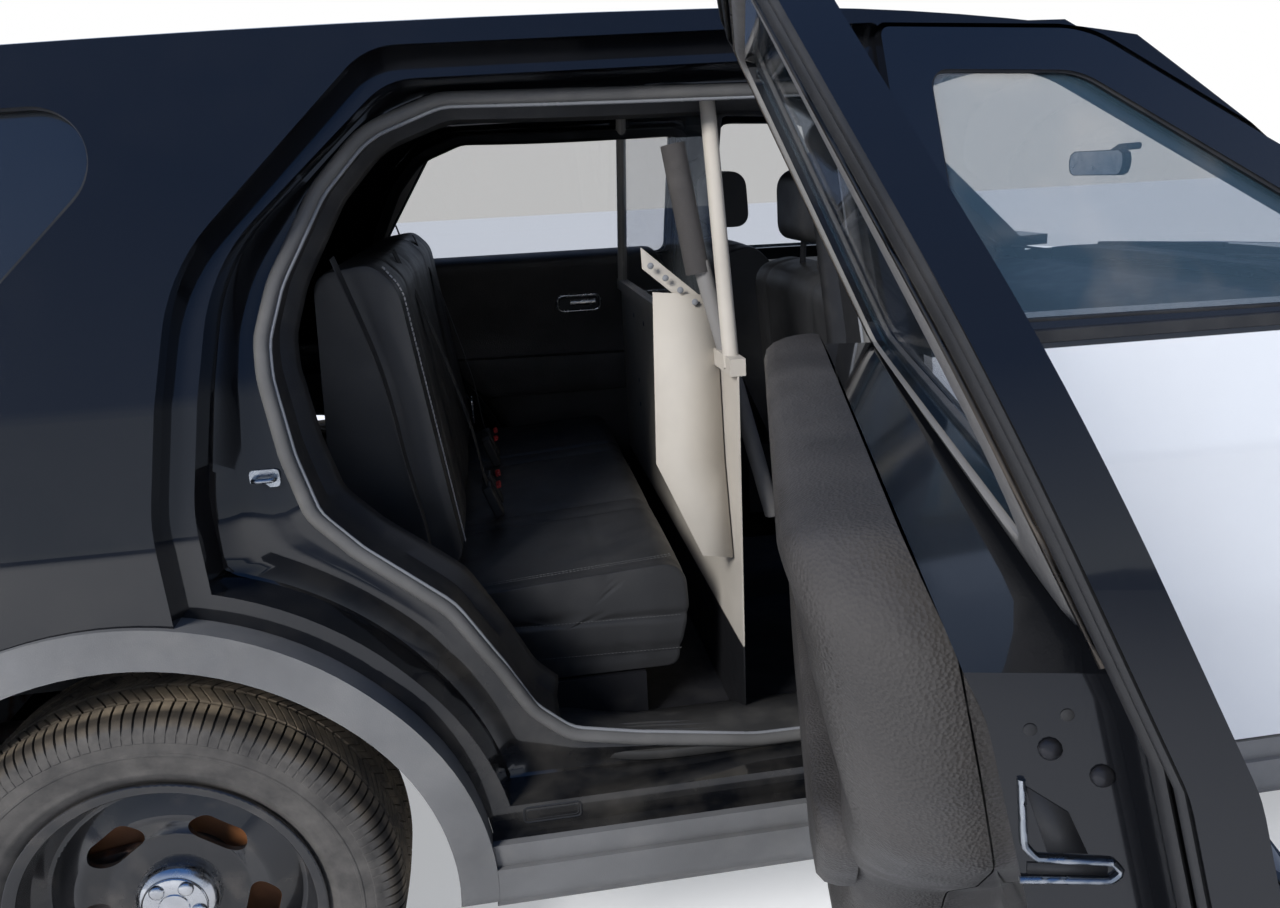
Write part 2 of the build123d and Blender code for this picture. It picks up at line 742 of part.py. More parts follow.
def make_door(door_outline, window_outline, hinge_x, handle_x):
    """Right door: its skin with the window frame, and the box of its lower half."""
    skin = layer("outer", "skin", right_prism(door_outline(0)))
    below_belt = right((C_SHUT_X - 100, DOOR_FRONT_X + 100), (0, BELT_Z + 26))
    inside = layer("skin", "depth", right_prism(door_outline(-DOOR_STEP)), below_belt)
    inside = less(inside, arch_round(REAR_AXLE_X, ARCH_TRIM_R + DOOR_STEP))
    door = less(joined([skin, inside]), right_prism(window_outline(0)))
    door = less(door, arch_round(REAR_AXLE_X, ARCH_TRIM_R + SHUT_GAP), *hinge_pockets(hinge_x))
    door = less(door, swing_space(REAR_HINGE_X, outer_corner)) if hinge_x > REAR_HINGE_X else door
    cup = across(HANDLE_CUP_R, handle_x + 28, HANDLE_Z, -WIDE, -HALF_W + 27 + 20)
    return joined([less(door, cup), make_handle(handle_x)])


def make_handle(handle_x):
    """Pull handle of a right door, on a post at each end."""
    low = HANDLE_Z - 12
    high = HANDLE_Z + 12
    grip = [(-100, low, 10), (42, low, 12), (42, high, 12), (-100, high, 10)]
    bar = prism(grip, "y", HANDLE_Y - 12, HANDLE_Y)
    posts = []
    for u, depth in HANDLE_POSTS:
        posts.append(box((u - 9, u + 9), (HANDLE_Y - 5, HANDLE_Y + depth), (low + 4, high - 4)))
    return joined([bar] + posts).moved(Location((handle_x, 0, 0)))


def make_door_trim():
    """Moulded inner trim of the right rear door with its armrest."""
    below_belt = right((C_SHUT_X - 100, DOOR_FRONT_X), (DOOR_LOW_Z + 60, BELT_Z + 5))
    panel = layer("trim out", "trim in", right_prism(rear_door_outline(-DOOR_STEP - 12)), below_belt)
    rest = [
        (B_PILLAR_X - 120, 780, 60),
        (B_PILLAR_X - 120, 900, 60),
        (C_SHUT_X + 200, 930, 60),
        (C_SHUT_X + 230, 780, 60),
    ]
    trim = joined([panel, layer("trim out", "armrest", right_prism(rest))])
    return less(trim, arch_round(REAR_AXLE_X, ARCH_TRIM_R + DOOR_STEP + 12))


MIRROR_X = 800.0
HANDLE_Z = 1060.0
HANDLE_Y = -HALF_W - 2
HANDLE_CUP_R = 50.0
HANDLE_POSTS = ((-88, 47), (28, 62))
FRONT_HANDLE_X = B_PILLAR_X + 130
REAR_HANDLE_X = C_SHUT_X + 165


def make_mirror():
    """Right outside mirror with its arm, seated on the door's skin."""
    shell = prism(
        [
            (MIRROR_X - 70, BELT_Z + 20, 40),
            (MIRROR_X + 60, BELT_Z + 20, 60),
            (MIRROR_X + 40, BELT_Z + 185, 50),
            (MIRROR_X - 70, BELT_Z + 185, 30),
        ],
        "y", -HALF_W - 143, -HALF_W + 35,
    )
    plan = prism(
        [
            (MIRROR_X - 70, -HALF_W + 36, 20),
            (MIRROR_X - 70, -HALF_W - 144, 20),
            (MIRROR_X - 10, -HALF_W - 144, 60),
            (MIRROR_X + 70, -HALF_W - 20, 80),
            (MIRROR_X + 70, -HALF_W + 36, 20),
        ],
        "z", BELT_Z, BELT_Z + 200,
    )
    arm = box((MIRROR_X - 20, MIRROR_X + 40), (-HALF_W - 10, -HALF_W + 120), (BELT_Z - 28, BELT_Z + 30))
    return less(joined([common(shell, plan), arm]), side_half(-SEAT_GAP))


def make_hood():
    """Hood with its front lip over the grille and lamps, and a groove for each hinge pin."""
    hood = less(common(WALL, hood_zone(0)), grille_zone(SHUT_GAP), headlamp_zone(SHUT_GAP))
    x, z = HOOD_HINGE
    grooves = [across(PIN_R + SEAT_GAP, x, z, y - 36, y + 36) for y in (-HOOD_HINGE_Y, HOOD_HINGE_Y)]
    return less(hood, *grooves)


def make_liftgate():
    """Liftgate with its window frame, its roof edge and the plate's recess with two bolt holes."""
    gate = less(common(WALL, liftgate_zone(0)), rear_window_zone(0))
    recess_z = (PLATE_Z - PLATE_H / 2, PLATE_Z + PLATE_H / 2)
    recess = box((TAIL_X - 100, PLATE_X), (-PLATE_W / 2, PLATE_W / 2), recess_z)
    holes = []
    for y in (-PLATE_HOLES / 2, PLATE_HOLES / 2):
        holes.append(rod((PLATE_X - 5, y, PLATE_Z), (PLATE_X + 20, y, PLATE_Z), PLATE_HOLE_R))
    gate = less(gate, recess, *holes)
    x, z = GATE_HINGE
    edge = box((x, x + 100), (-WIDE, WIDE), (z, z + 100))
    gate = less(gate, less(edge, across(GATE_EDGE_R, x, z, -WIDE, WIDE)))
    for y in (-GATE_HINGE_Y, GATE_HINGE_Y):
        gate = less(
            gate,
            sector((x, z), 50, -55, 135, "y", y - 16, y + 16),
            across(HINGE_LEAF + 2.5, x, z, y - 16, y + 16),
            across(PIN_R + SEAT_GAP, x, z, y - 36, y + 36),
        )
    wing = box((SPOILER_X, TAIL_X + 300), (-575, 575), ABOVE_GLASS)
    wing = less(common(wing, roof_solid(0)), roof_solid(SPOILER_T), tail_solid(-1))
    return joined([gate, wing])


def make_liftgate_glass():
    """Rear glass."""
    pane = common(OUTER, rear_window_zone(-PANE_GAP), box((TAIL_X, TAIL_X + 400), (-800, 800), (BELT_Z - 175, ROOF_Z - 58)))
    return less(pane, tail_solid(GLASS_T))


def make_floor():
    """Floor pan with its tunnel, the kick-up under the rear seat and the load floor."""
    narrow = REAR_LINER_Y - SEAT_GAP
    low = FLOOR_Z - FLOOR_T
    front = FIREWALL_X - SEAT_GAP
    pan = box((SEAT_KICK_X, front), (-FLOOR_HALF_W, FLOOR_HALF_W), (low, FLOOR_Z))
    tunnel = prism(
        [(-150, FLOOR_Z - 20, 0), (-110, FLOOR_Z + 70, 40), (110, FLOOR_Z + 70, 40), (150, FLOOR_Z - 20, 0)],
        "x", SEAT_KICK_X, front,
    )
    riser = box((SEAT_KICK_X, SEAT_KICK_X + 400), (-640, 640), (FLOOR_Z - 5, FLOOR_Z + 99))
    rise = box((SEAT_KICK_X - FLOOR_T, SEAT_KICK_X), (-narrow, narrow), (low, LOAD_FLOOR_Z))
    load = box(
        (TAIL_X + END_WALL + 40, SEAT_KICK_X - FLOOR_T + 5), (-narrow, narrow),
        (LOAD_FLOOR_Z - FLOOR_T, LOAD_FLOOR_Z),
    )
    arch = across(ARCH_R + LINER_T + SEAT_GAP, REAR_AXLE_X, TYRE_R, -WIDE, -narrow)
    return less(joined([pan, tunnel, riser, rise, load]), tunnel_space(), arch, mirrored(arch))


def tunnel_space():
    """Space under the tunnel for the exhaust and propeller shaft."""
    low = FLOOR_Z - FLOOR_T - 1
    return prism(
        [(-110, low, 0), (-85, FLOOR_Z + 45, 30), (85, FLOOR_Z + 45, 30), (110, low, 0)],
        "x", SEAT_KICK_X - FLOOR_T - 1, FIREWALL_X + 40,
    )


def hood_swing():
    """Room behind the hood's hinge pins that its rear edge turns into."""
    x, z = HOOD_HINGE
    back = (HOOD_SWING_H + 6) * math.tan(math.radians(HOOD_OPEN_DEG))
    top = z + HOOD_SWING_H
    points = [(x - 5, z - 6, 0), (x + 40, z - 6, 0), (x + 40, top, 0), (x - 5 - back, top, 0)]
    return prism(points, "y", -WIDE, WIDE)


def make_front_structure():
    """Firewall, cowl, inner aprons, front rails, strut towers and radiator support."""
    support = (NOSE_X - 280, NOSE_X - 240)
    firewall_z = (FLOOR_Z - FLOOR_T, BELT_Z - 90)
    firewall = box((FIREWALL_X, FIREWALL_X + 30), (-FLOOR_HALF_W, FLOOR_HALF_W), firewall_z)
    shelf = box((FIREWALL_X, COWL_X - 20), (-760, 760), (BELT_Z - 90, BELT_Z - 60))
    cowl_z = (BELT_Z - 61, PILLAR_FOOT_Z - SEAT_GAP)
    cowl = common(WALL, box((WINDSCREEN_FOOT_X - 60, COWL_X + 4), (-768, 768), cowl_z))
    solids = [firewall, shelf, less(cowl, hood_swing())]
    x, z = HOOD_HINGE
    for y in (-HOOD_HINGE_Y, HOOD_HINGE_Y):
        solids.append(box((x - 22, x - 1), (y - 14, y + 14), (z - 20, z - 2)))
        solids.append(across(PIN_R, x, z, y - 34, y + 34))
    for side in (-1, 1):
        rail_y = sorted((side * RAIL_Y, side * (RAIL_Y + RAIL_W)))
        tower_y = sorted((side * (RAIL_Y + RAIL_W - 20), side * (RAIL_Y + 250)))
        apron_y = sorted((side * (RAIL_Y + RAIL_W - 20), side * (RAIL_Y + RAIL_W)))
        post_y = sorted((side * (RAIL_Y - 10), side * (RAIL_Y + 60)))
        solids.append(box((FIREWALL_X + 20, NOSE_X - 190), rail_y, (RAIL_Z, RAIL_Z + 130)))
        solids.append(box((FIREWALL_X + 20, NOSE_X - 260), apron_y, (RAIL_Z + 100, 930)))
        solids.append(box((FRONT_AXLE_X - 110, FRONT_AXLE_X + 110), tower_y, (TOWER_Z, TOWER_Z + 30)))
        solids.append(box(support, post_y, (330, 930)))
    solids.append(box(support, (-RAIL_Y - 60, RAIL_Y + 60), (330, 400)))
    solids.append(box(support, (-RAIL_Y - RAIL_W, RAIL_Y + RAIL_W), (860, 930)))
    solids.append(box((NOSE_X - 195, NOSE_X - 150), (-600, 600), (RAIL_Z + 5, RAIL_Z + 125)))
    return less(joined(solids), tunnel_space())


def turned(profile, axle_x, side):
    """Ring about a wheel's axle, from radius and outboard distance to the wheel's centre plane."""
    points = [(r, side * (HALF_TRACK + s), c) for r, s, c in profile]
    face = outline(points, "z", 0)
    axis = Axis((0, 0, 0), (0, 1, 0))
    return Solid.revolve(face, 360, axis).moved(Location((axle_x, 0, TYRE_R)))


# Tyre and steel wheel in section: radius, outboard distance, corner radius
TYRE_SECTION = [
    (RIM_FLANGE_R - 14 + SEAT_GAP, -95, 0),
    (RIM_FLANGE_R + SEAT_GAP, -103, 0),
    (RIM_FLANGE_R + 55, -TYRE_W / 2, 40),
    (TYRE_R - 34, -TYRE_W / 2 + 8, 20),
    (TYRE_R - 2, -TYRE_W / 2 + 30, 18),
    (TYRE_R, -20, 0),
    (TYRE_R, 20, 0),
    (TYRE_R - 2, TYRE_W / 2 - 30, 18),
    (TYRE_R - 34, TYRE_W / 2 - 8, 20),
    (RIM_FLANGE_R + 55, TYRE_W / 2, 40),
    (RIM_FLANGE_R + SEAT_GAP, 103, 0),
    (RIM_FLANGE_R - 14 + SEAT_GAP, 95, 0),
]
RIM_SECTION = [
    (RIM_FLANGE_R, -RIM_W / 2, 3),
    (RIM_FLANGE_R, -RIM_W / 2 + 9, 3),
    (RIM_FLANGE_R - 14, -RIM_W / 2 + 14, 5),
    (RIM_FLANGE_R - 14, -62, 8),
    (RIM_FLANGE_R - 38, -42, 10),
    (RIM_FLANGE_R - 38, 52, 10),
    (RIM_FLANGE_R - 14, 72, 8),
    (RIM_FLANGE_R - 14, RIM_W / 2 - 14, 5),
    (RIM_FLANGE_R, RIM_W / 2 - 9, 3),
    (RIM_FLANGE_R, RIM_W / 2, 3),
    (RIM_FLANGE_R - 20, RIM_W / 2 - 6, 6),
    (RIM_FLANGE_R - 24, 70, 8),
    (RIM_FLANGE_R - 46, 46, 8),
    (150, 66, 16),
    (110, 50, 14),
    (84, 52, 8),
    (0, 52, 0),
    (0, 44, 0),
    (82, 44, 8),
    (112, 41, 14),
    (150, 56, 14),
    (RIM_FLANGE_R - 46, 34, 6),
    (RIM_FLANGE_R - 46, -46, 10),
    (RIM_FLANGE_R - 22, -66, 8),
    (RIM_FLANGE_R - 22, -RIM_W / 2 + 4, 3),
]
DISC_FACE_S = -4.0
HAND_HOLES = 5
HAND_HOLE_R = 26.0
HAND_HOLE_HALF = 22.0
HAND_HOLE_AT_R = 132.0


def make_tyre(axle_x, side):
    """Tyre."""
    return turned(TYRE_SECTION, axle_x, side)


def make_wheel(axle_x, side):
    """Steel wheel with hand holes, its centre cap, hub and brake disc."""
    wheel = turned(RIM_SECTION, axle_x, side)
    y = sorted((side * (HALF_TRACK + 20), side * (HALF_TRACK + 100)))
    z = TYRE_R + HAND_HOLE_AT_R
    long = (axle_x - HAND_HOLE_HALF, axle_x + HAND_HOLE_HALF)
    oval = joined(
        [across(HAND_HOLE_R, x, z, *y) for x in long] + [box(long, y, (z - HAND_HOLE_R, z + HAND_HOLE_R))]
    )
    holes = []
    for i in range(HAND_HOLES):
        holes.append(oval.rotate(Axis((axle_x, 0, TYRE_R), (0, 1, 0)), 360 * (i + 0.5) / HAND_HOLES))
    cap = turned([(0, 51, 0), (CAP_R, 51, 0), (CAP_R, 66, 8), (CAP_R - 12, 80, 10), (0, 84, 0)], axle_x, side)
    hub = turned([(0, -60, 0), (HUB_R - 10, -60, 0), (HUB_R - 10, 44, 0), (0, 44, 0)], axle_x, side)
    hat = [
        (HUB_R - 12, 30, 0), (HUB_R + 8, 30, 0), (HUB_R + 8, DISC_FACE_S, 0), (DISC_R, DISC_FACE_S, 0),
        (DISC_R, DISC_FACE_S - DISC_T, 0), (HUB_R - 12, DISC_FACE_S - DISC_T, 0),
    ]
    return joined([less(wheel, *holes), cap, hub, turned(hat, axle_x, side)])


UPRIGHT_S = (-102.0, -60.0 - SEAT_GAP)
BALL_Z = 215.0
BALL_Y = HALF_TRACK - 76.0
BALL_RISE = 24.0
BALL_PIN_R = 12.0
STRUT_R = 55.0
STRUT_TOP_Y = 590.0
STRUT_LEAN = math.atan2(BALL_Y - STRUT_TOP_Y, TOWER_Z - BALL_Z)


def make_upright(axle_x, side):
    """Knuckle with its brake caliper and strut, from the ball joint to the strut tower."""
    y = sorted((side * (HALF_TRACK + UPRIGHT_S[0]), side * (HALF_TRACK + UPRIGHT_S[1])))
    plate = prism(
        [
            (axle_x - 40, BALL_Z + BALL_RISE, 20), (axle_x + 40, BALL_Z + BALL_RISE, 20),
            (axle_x + 70, TYRE_R, 40),
            (axle_x + 45, TYRE_R + 130, 30), (axle_x - 45, TYRE_R + 130, 30), (axle_x - 70, TYRE_R, 40),
        ],
        "y", y[0], y[1],
    )
    caliper_y = sorted((side * (HALF_TRACK - 60), side * (HALF_TRACK + 22)))
    caliper = prism(
        [
            (axle_x - 188, TYRE_R - 55, 25), (axle_x - 188, TYRE_R + 55, 25),
            (axle_x - 60, TYRE_R + 75, 5), (axle_x - 60, TYRE_R - 75, 5),
        ],
        "y", caliper_y[0] - (20 if side > 0 else 0), caliper_y[1] + (20 if side < 0 else 0),
    )
    slot = [
        (0, -38, 0), (DISC_R + 6, -38, 0), (DISC_R + 6, 4, 0), (HUB_R + 14, 4, 0),
        (HUB_R + 14, 40, 0), (0, 40, 0),
    ]
    bore = [(0, -62, 0), (HUB_R - 6, -62, 0), (HUB_R - 6, 45, 0), (0, 45, 0)]
    caliper = less(caliper, turned(slot, axle_x, side), turned(bore, axle_x, side))
    caliper = common(caliper, across(192, axle_x, TYRE_R, -WIDE, WIDE))
    top = strut_point(axle_x, side, TOWER_Z - SEAT_GAP - STRUT_R * math.sin(STRUT_LEAN))
    pin = strut_point(axle_x, side, BALL_Z + 2 + BALL_PIN_R * math.sin(STRUT_LEAN))
    strut = joined([
        rod(strut_point(axle_x, side, TYRE_R + 70), top, 26),
        rod(strut_point(axle_x, side, TYRE_R + 230), top, STRUT_R),
        rod(pin, strut_point(axle_x, side, BALL_Z + 70), BALL_PIN_R),
    ])
    return joined([plate, caliper, strut])


def strut_point(axle_x, side, z):
    """Point of the steering axis at a height."""
    return (axle_x, side * (BALL_Y - (z - BALL_Z) * math.tan(STRUT_LEAN)), z)


def make_subframe(axle_x, rear):
    """Subframe with a lower arm to each wheel and, at the rear, the fixed uprights."""
    beam_z = (BALL_Z - 20, BALL_Z + 40)
    solids = []
    for x in (axle_x - 260, axle_x + 190):
        solids.append(box((x, x + 70), (-RAIL_Y - 60, RAIL_Y + 60), beam_z))
    for side in (-1, 1):
        y = sorted((side * (RAIL_Y - 20), side * (RAIL_Y + 60)))
        solids.append(box((axle_x - 260, axle_x + 260), y, beam_z))
        top = LOAD_FLOOR_Z - FLOOR_T if rear else RAIL_Z
        for x in (axle_x - 250, axle_x + 200):
            solids.append(box((x, x + 50), y, (BALL_Z, top - SEAT_GAP)))
        arm = prism(
            [
                (axle_x - 170, side * (RAIL_Y + 40), 10), (axle_x + 170, side * (RAIL_Y + 40), 10),
                (axle_x + 30, side * (BALL_Y + 14), 28), (axle_x - 30, side * (BALL_Y + 14), 28),
            ],
            "z", BALL_Z - 24, BALL_Z + 2 - SEAT_GAP,
        )
        solids.append(arm)
    return joined(solids)


def make_rear_upright(side):
    """Rear upright, fixed on its arm, with the brake caliper."""
    front = make_upright(REAR_AXLE_X, side)
    above = (LOAD_FLOOR_Z - FLOOR_T - SEAT_GAP, 1200)
    high = box((REAR_AXLE_X - 300, REAR_AXLE_X + 300), (-WIDE, WIDE), above)
    return less(front, high)


def make_engine():
    """Engine and transaxle as one plain block on its mounts to the rails."""
    block = box((1250, 1960), (-330, 330), (300, 880))
    ears = box((1550, 1650), (-RAIL_Y + SEAT_GAP, RAIL_Y - SEAT_GAP), (500, 580))
    sump = box((1260, 1600), (-180, 180), (215, 310))
    return joined([block, ears, sump])


def make_exhaust():
    """Exhaust pipe, silencer and tail pipe on their hangers."""
    z = 330.0
    low = 291.0
    under = LOAD_FLOOR_Z - FLOOR_T - SEAT_GAP
    corners = [(FIREWALL_X + 60, -45, z), (-1020, -45, z), (-1180, -210, low), (-2060, -210, low + 30)]
    pipe = joined([rod(a, b, 28) for a, b in zip(corners, corners[1:])])
    bend = joined([Solid.make_sphere(28, Plane(corner), -90, 90, 360) for corner in corners[1:3]])
    silencer = prism(
        [(-330, 300, 60), (330, 300, 60), (330, 460, 60), (-330, 460, 60)],
        "x", -2380, -2040,
    )
    tail = rod((-2370, -240, 350), (TAIL_X + 135, -290, 345), 30)
    hangers = []
    for x, y in ((-2300, -200), (-2300, 200), (-2100, -10)):
        hangers.append(box((x, x + 20), (y, y + 20), (430, under)))
    return joined([pipe, bend, silencer, tail] + hangers)


def make_fuel_tank():
    """Fuel tank under the rear footwell."""
    points = [(-960, -640, 60), (-960, -150, 40), (-300, -150, 40), (-300, -640, 60)]
    return prism(points, "z", SILL_Z - 10, FLOOR_Z - FLOOR_T - SEAT_GAP)


def make_driveline():
    """Propeller shaft, rear differential and the drive shafts of all four wheels."""
    diff = joined([
        across(95, REAR_AXLE_X, TYRE_R, -110, 110),
        rod((REAR_AXLE_X, 30, TYRE_R), (REAR_AXLE_X + 200, 30, TYRE_R), 60),
    ])
    shaft = rod((REAR_AXLE_X + 180, 30, TYRE_R), (1249, 30, TYRE_R + 30), 26)
    end = HALF_TRACK + UPRIGHT_S[0] - SEAT_GAP
    halves = across(20, REAR_AXLE_X, TYRE_R, -end, end)
    cradle_z = (TYRE_R + 60, LOAD_FLOOR_Z - FLOOR_T - SEAT_GAP)
    cradle = box((REAR_AXLE_X - 60, REAR_AXLE_X + 60), (-60, 60), cradle_z)
    rear = joined([diff, shaft, halves, cradle])
    front = [
        across(20, FRONT_AXLE_X, TYRE_R, side * (330 + SEAT_GAP), side * 640)
        for side in (-1, 1)
    ]
    return [rear] + front


def make_front_seats():
    """Both front seats, each a cushion on its base and a back with its head restraint."""
    cushion = [
        (-110, FLOOR_Z + 71, 20), (400, FLOOR_Z + 71, 30), (440, 600, 60), (470, 715, 50),
        (400, 735, 60), (-110, 690, 30),
    ]
    back = [
        (-112, 696, 30), (30, 712, 50), (-110, 1220, 60), (-160, 1270, 50), (-262, 1250, 50),
        (-240, 1000, 60),
    ]
    head = [(-235, 1300, 35), (-140, 1300, 35), (-150, 1450, 40), (-238, 1450, 40)]
    solids = []
    for side in (-1, 1):
        y = sorted((side * 160, side * 650))
        foot_y = sorted((side * 190, side * 620))
        head_y = sorted((side * 280, side * 530))
        foot = box((-60, 360), foot_y, (FLOOR_Z + SEAT_GAP, FLOOR_Z + 90))
        recliner = box((-190, 0), foot_y, (FLOOR_Z + 110, 760))
        posts = [rod((-200, side * y_post, 1230), (-195, side * y_post, 1320), 7) for y_post in (350, 460)]
        cushions = [prism(cushion, "y", *y), prism(back, "y", *y), prism(head, "y", *head_y)]
        solids.append(joined(cushions + [foot, recliner] + posts))
    return solids


def make_rear_cushion():
    """Rear bench cushion on the floor's riser."""
    section = [
        (SEAT_KICK_X + 20, FLOOR_Z + 99 + SEAT_GAP, 10), (-540, FLOOR_Z + 99 + SEAT_GAP, 20),
        (-512, 640, 60), (-518, 745, 50), (SEAT_KICK_X + 20, 715, 20),
    ]
    return prism(section, "y", -640, 640)


def make_rear_back():
    """Rear bench back, which stands behind the cushion and on the kick-up."""
    section = [
        (SEAT_KICK_X - 60, LOAD_FLOOR_Z + SEAT_GAP, 5), (SEAT_KICK_X - 1, LOAD_FLOOR_Z + SEAT_GAP, 5),
        (SEAT_KICK_X - 1, 730, 10), (-930, 760, 45), (-1000, 1290, 60), (-1045, 1335, 40),
        (-1150, 1320, 40), (-1170, 900, 60),
    ]
    return prism(section, "y", -590, 590)


def make_partition():
    """Steel partition behind the front seats: lower sheet, posts, rail and brace tube."""
    x = PARTITION_X
    sheet = box((x, x + 3), (-740, 740), (FLOOR_Z + SEAT_GAP, 1130))
    hump = prism(
        [(-152, FLOOR_Z - 20, 0), (-112, FLOOR_Z + 72, 40), (112, FLOOR_Z + 72, 40), (152, FLOOR_Z - 20, 0)],
        "x", x - 10, x + 10,
    )
    rail = box((x - 12, x + 15), (-740, 740), (1112, 1142))
    top = box((x - 12, x + 15), (-560, 560), (PARTITION_TOP_Z, PARTITION_TOP_Z + 22))
    solids = [less(sheet, hump), rail, top]
    for side in (-1, 1):
        solids.append(rod((x, side * 700, 1120), (x, side * 545, PARTITION_TOP_Z + 12), 14))
    return joined(solids)


def make_partition_pane():
    """Clear pane of the partition."""
    low = 1142 + SEAT_GAP
    high = PARTITION_TOP_Z - SEAT_GAP
    points = [(-665, low, 20), (665, low, 20), (520, high, 20), (-520, high, 20)]
    return prism(points, "x", PARTITION_X - 3, PARTITION_X + 3)


def column_point(run):
    """Point of the steering column's axis, measured from the steering wheel's centre."""
    x, y, z = STEERING_WHEEL
    lean = math.radians(COLUMN_DEG)
    return (x + run * math.cos(lean), y, z - run * math.sin(lean))


def make_dashboard():
    """Dashboard with the steering column's shroud."""
    back = FIREWALL_X - SEAT_GAP
    section = [
        (back, 760, 0), (back, 1105, 10), (880, 1130, 30), (640, 1090, 60), (585, 1000, 50),
        (640, 860, 60), (720, 760, 30),
    ]
    body = prism(section, "y", -790, 790)
    return joined([body, rod(column_point(62), column_point(300), 42)])


def make_steering_wheel():
    """Steering wheel with three spokes and its hub."""
    x, y, z = STEERING_WHEEL
    lean = math.radians(COLUMN_DEG)
    plane = Plane(origin=Vector(x, y, z), x_dir=(0, 1, 0), z_dir=Vector(-math.cos(lean), 0, math.sin(lean)))
    rim = Solid.make_torus(182, 15, plane)
    hub = rod(column_point(62 - SEAT_GAP), column_point(8), 62)
    spokes = []
    for degrees in (0, 180, 270):
        way = plane.x_dir.rotate(Axis((0, 0, 0), plane.z_dir), degrees)
        start = Vector(*column_point(25)) + way * 30
        spokes.append(rod(tuple(start), tuple(Vector(x, y, z) + way * 180), 12))
    return joined([rim, hub] + spokes)


def opened(shape):
    """A right rear door piece at the angle at which the door stands."""
    hinge = Axis((REAR_HINGE_X, HINGE_Y, 0), (0, 0, 1))
    return shape.rotate(hinge, DOOR_OPEN_DEG)


def both(shape):
    """Right and left copies."""
    return [shape, mirrored(shape)]


def write(name, shapes):
    """Write one node from its solids."""
    solids = []
    for shape in shapes if isinstance(shapes, list) else [shapes]:
        solids += shape.solids()
    export_step(Compound(children=solids), f"parts/{name}.step")


def main():
    os.makedirs("parts", exist_ok=True)
    side = make_body_side()
    write("floor_pan", make_floor())
    write("front_structure", make_front_structure())
    write("body_side_right", side)
    write("body_side_left", mirrored(side))
    write("roof_panel", make_roof())
    write("front_fenders", both(make_fender()))
    write("bumpers", [make_front_bumper(), make_rear_bumper()])
    write("grille", make_grille())
    write("lamps", both(make_headlamp()) + both(make_tail_lamp()))
    claddings = [
        make_arch_trim(REAR_AXLE_X, REAR_LINER_Y),
        make_arch_trim(FRONT_AXLE_X, FRONT_LINER_Y),
        make_sill_cladding(),
    ]
    write("lower_cladding", [copy for piece in claddings for copy in both(piece)])
    write("fixed_glass", [make_windscreen()] + both(make_quarter_glass()))
    write("hood", make_hood())
    write("liftgate", make_liftgate())
    write("liftgate_glass", make_liftgate_glass())
    front_door = make_door(front_door_outline, front_window_outline, FRONT_HINGE_X, FRONT_HANDLE_X)
    front_glass = make_door_glass(front_window_outline)
    mirror = make_mirror()
    rear_door = make_door(rear_door_outline, rear_window_outline, REAR_HINGE_X, REAR_HANDLE_X)
    rear_glass = make_door_glass(rear_window_outline)
    rear_trim = make_door_trim()
    write("front_door_right", front_door)
    write("front_door_right_glass", front_glass)
    write("mirror_right", mirror)
    write("front_door_left", mirrored(front_door))
    write("front_door_left_glass", mirrored(front_glass))
    write("mirror_left", mirrored(mirror))
    write("rear_door_right", opened(rear_door))
    write("rear_door_right_glass", opened(rear_glass))
    write("rear_door_right_trim", opened(rear_trim))
    write("rear_door_left", mirrored(rear_door))
    write("rear_door_left_glass", mirrored(rear_glass))
    write("rear_door_left_trim", mirrored(rear_trim))
    for place, axle_x in (("front", FRONT_AXLE_X), ("rear", REAR_AXLE_X)):
        for name, hand in (("right", -1), ("left", 1)):
            write(f"tyre_{place}_{name}", make_tyre(axle_x, hand))
            write(f"wheel_{place}_{name}", make_wheel(axle_x, hand))
    write("knuckle_front_right", make_upright(FRONT_AXLE_X, -1))
    write("knuckle_front_left", make_upright(FRONT_AXLE_X, 1))
    uprights = [make_rear_upright(-1), make_rear_upright(1)]
    write("subframes", [make_subframe(FRONT_AXLE_X, False), make_subframe(REAR_AXLE_X, True)] + uprights)
    write("engine_block", make_engine())
    write("exhaust", make_exhaust())
    write("fuel_tank", make_fuel_tank())
    write("driveline", make_driveline())
    write("front_seats", make_front_seats())
    write("rear_seat_cushion", make_rear_cushion())
    write("rear_seat_back", make_rear_back())
    write("partition_frame", make_partition())
    write("partition_pane", make_partition_pane())
    write("dashboard", make_dashboard())
    write("steering_wheel", make_steering_wheel())


main()
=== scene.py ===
import json
import math

import bmesh
import bpy
import numpy as np
from mathutils import Matrix, Vector


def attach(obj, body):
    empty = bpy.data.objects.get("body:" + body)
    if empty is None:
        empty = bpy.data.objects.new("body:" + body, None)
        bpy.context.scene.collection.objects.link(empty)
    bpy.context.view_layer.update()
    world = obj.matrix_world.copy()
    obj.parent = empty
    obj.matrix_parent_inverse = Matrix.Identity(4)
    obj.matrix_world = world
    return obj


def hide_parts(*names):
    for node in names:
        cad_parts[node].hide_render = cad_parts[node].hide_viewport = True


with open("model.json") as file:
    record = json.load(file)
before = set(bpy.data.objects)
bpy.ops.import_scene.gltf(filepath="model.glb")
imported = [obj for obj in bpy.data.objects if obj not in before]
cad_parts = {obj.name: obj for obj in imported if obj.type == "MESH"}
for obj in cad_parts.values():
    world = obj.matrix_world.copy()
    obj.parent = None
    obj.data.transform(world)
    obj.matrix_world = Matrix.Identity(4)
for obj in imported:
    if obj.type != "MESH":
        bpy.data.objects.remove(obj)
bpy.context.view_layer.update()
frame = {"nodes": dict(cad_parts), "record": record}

# The photograph's width and focal length, in pixels, and the camera that fits it, in metres and degrees
PHOTO_W = 1280
FOCAL_PX = 985.6
CAMERA_AT = (-0.844, -2.359, 1.454)
CAMERA_YAW = 8.04
CAMERA_PITCH = 15.85
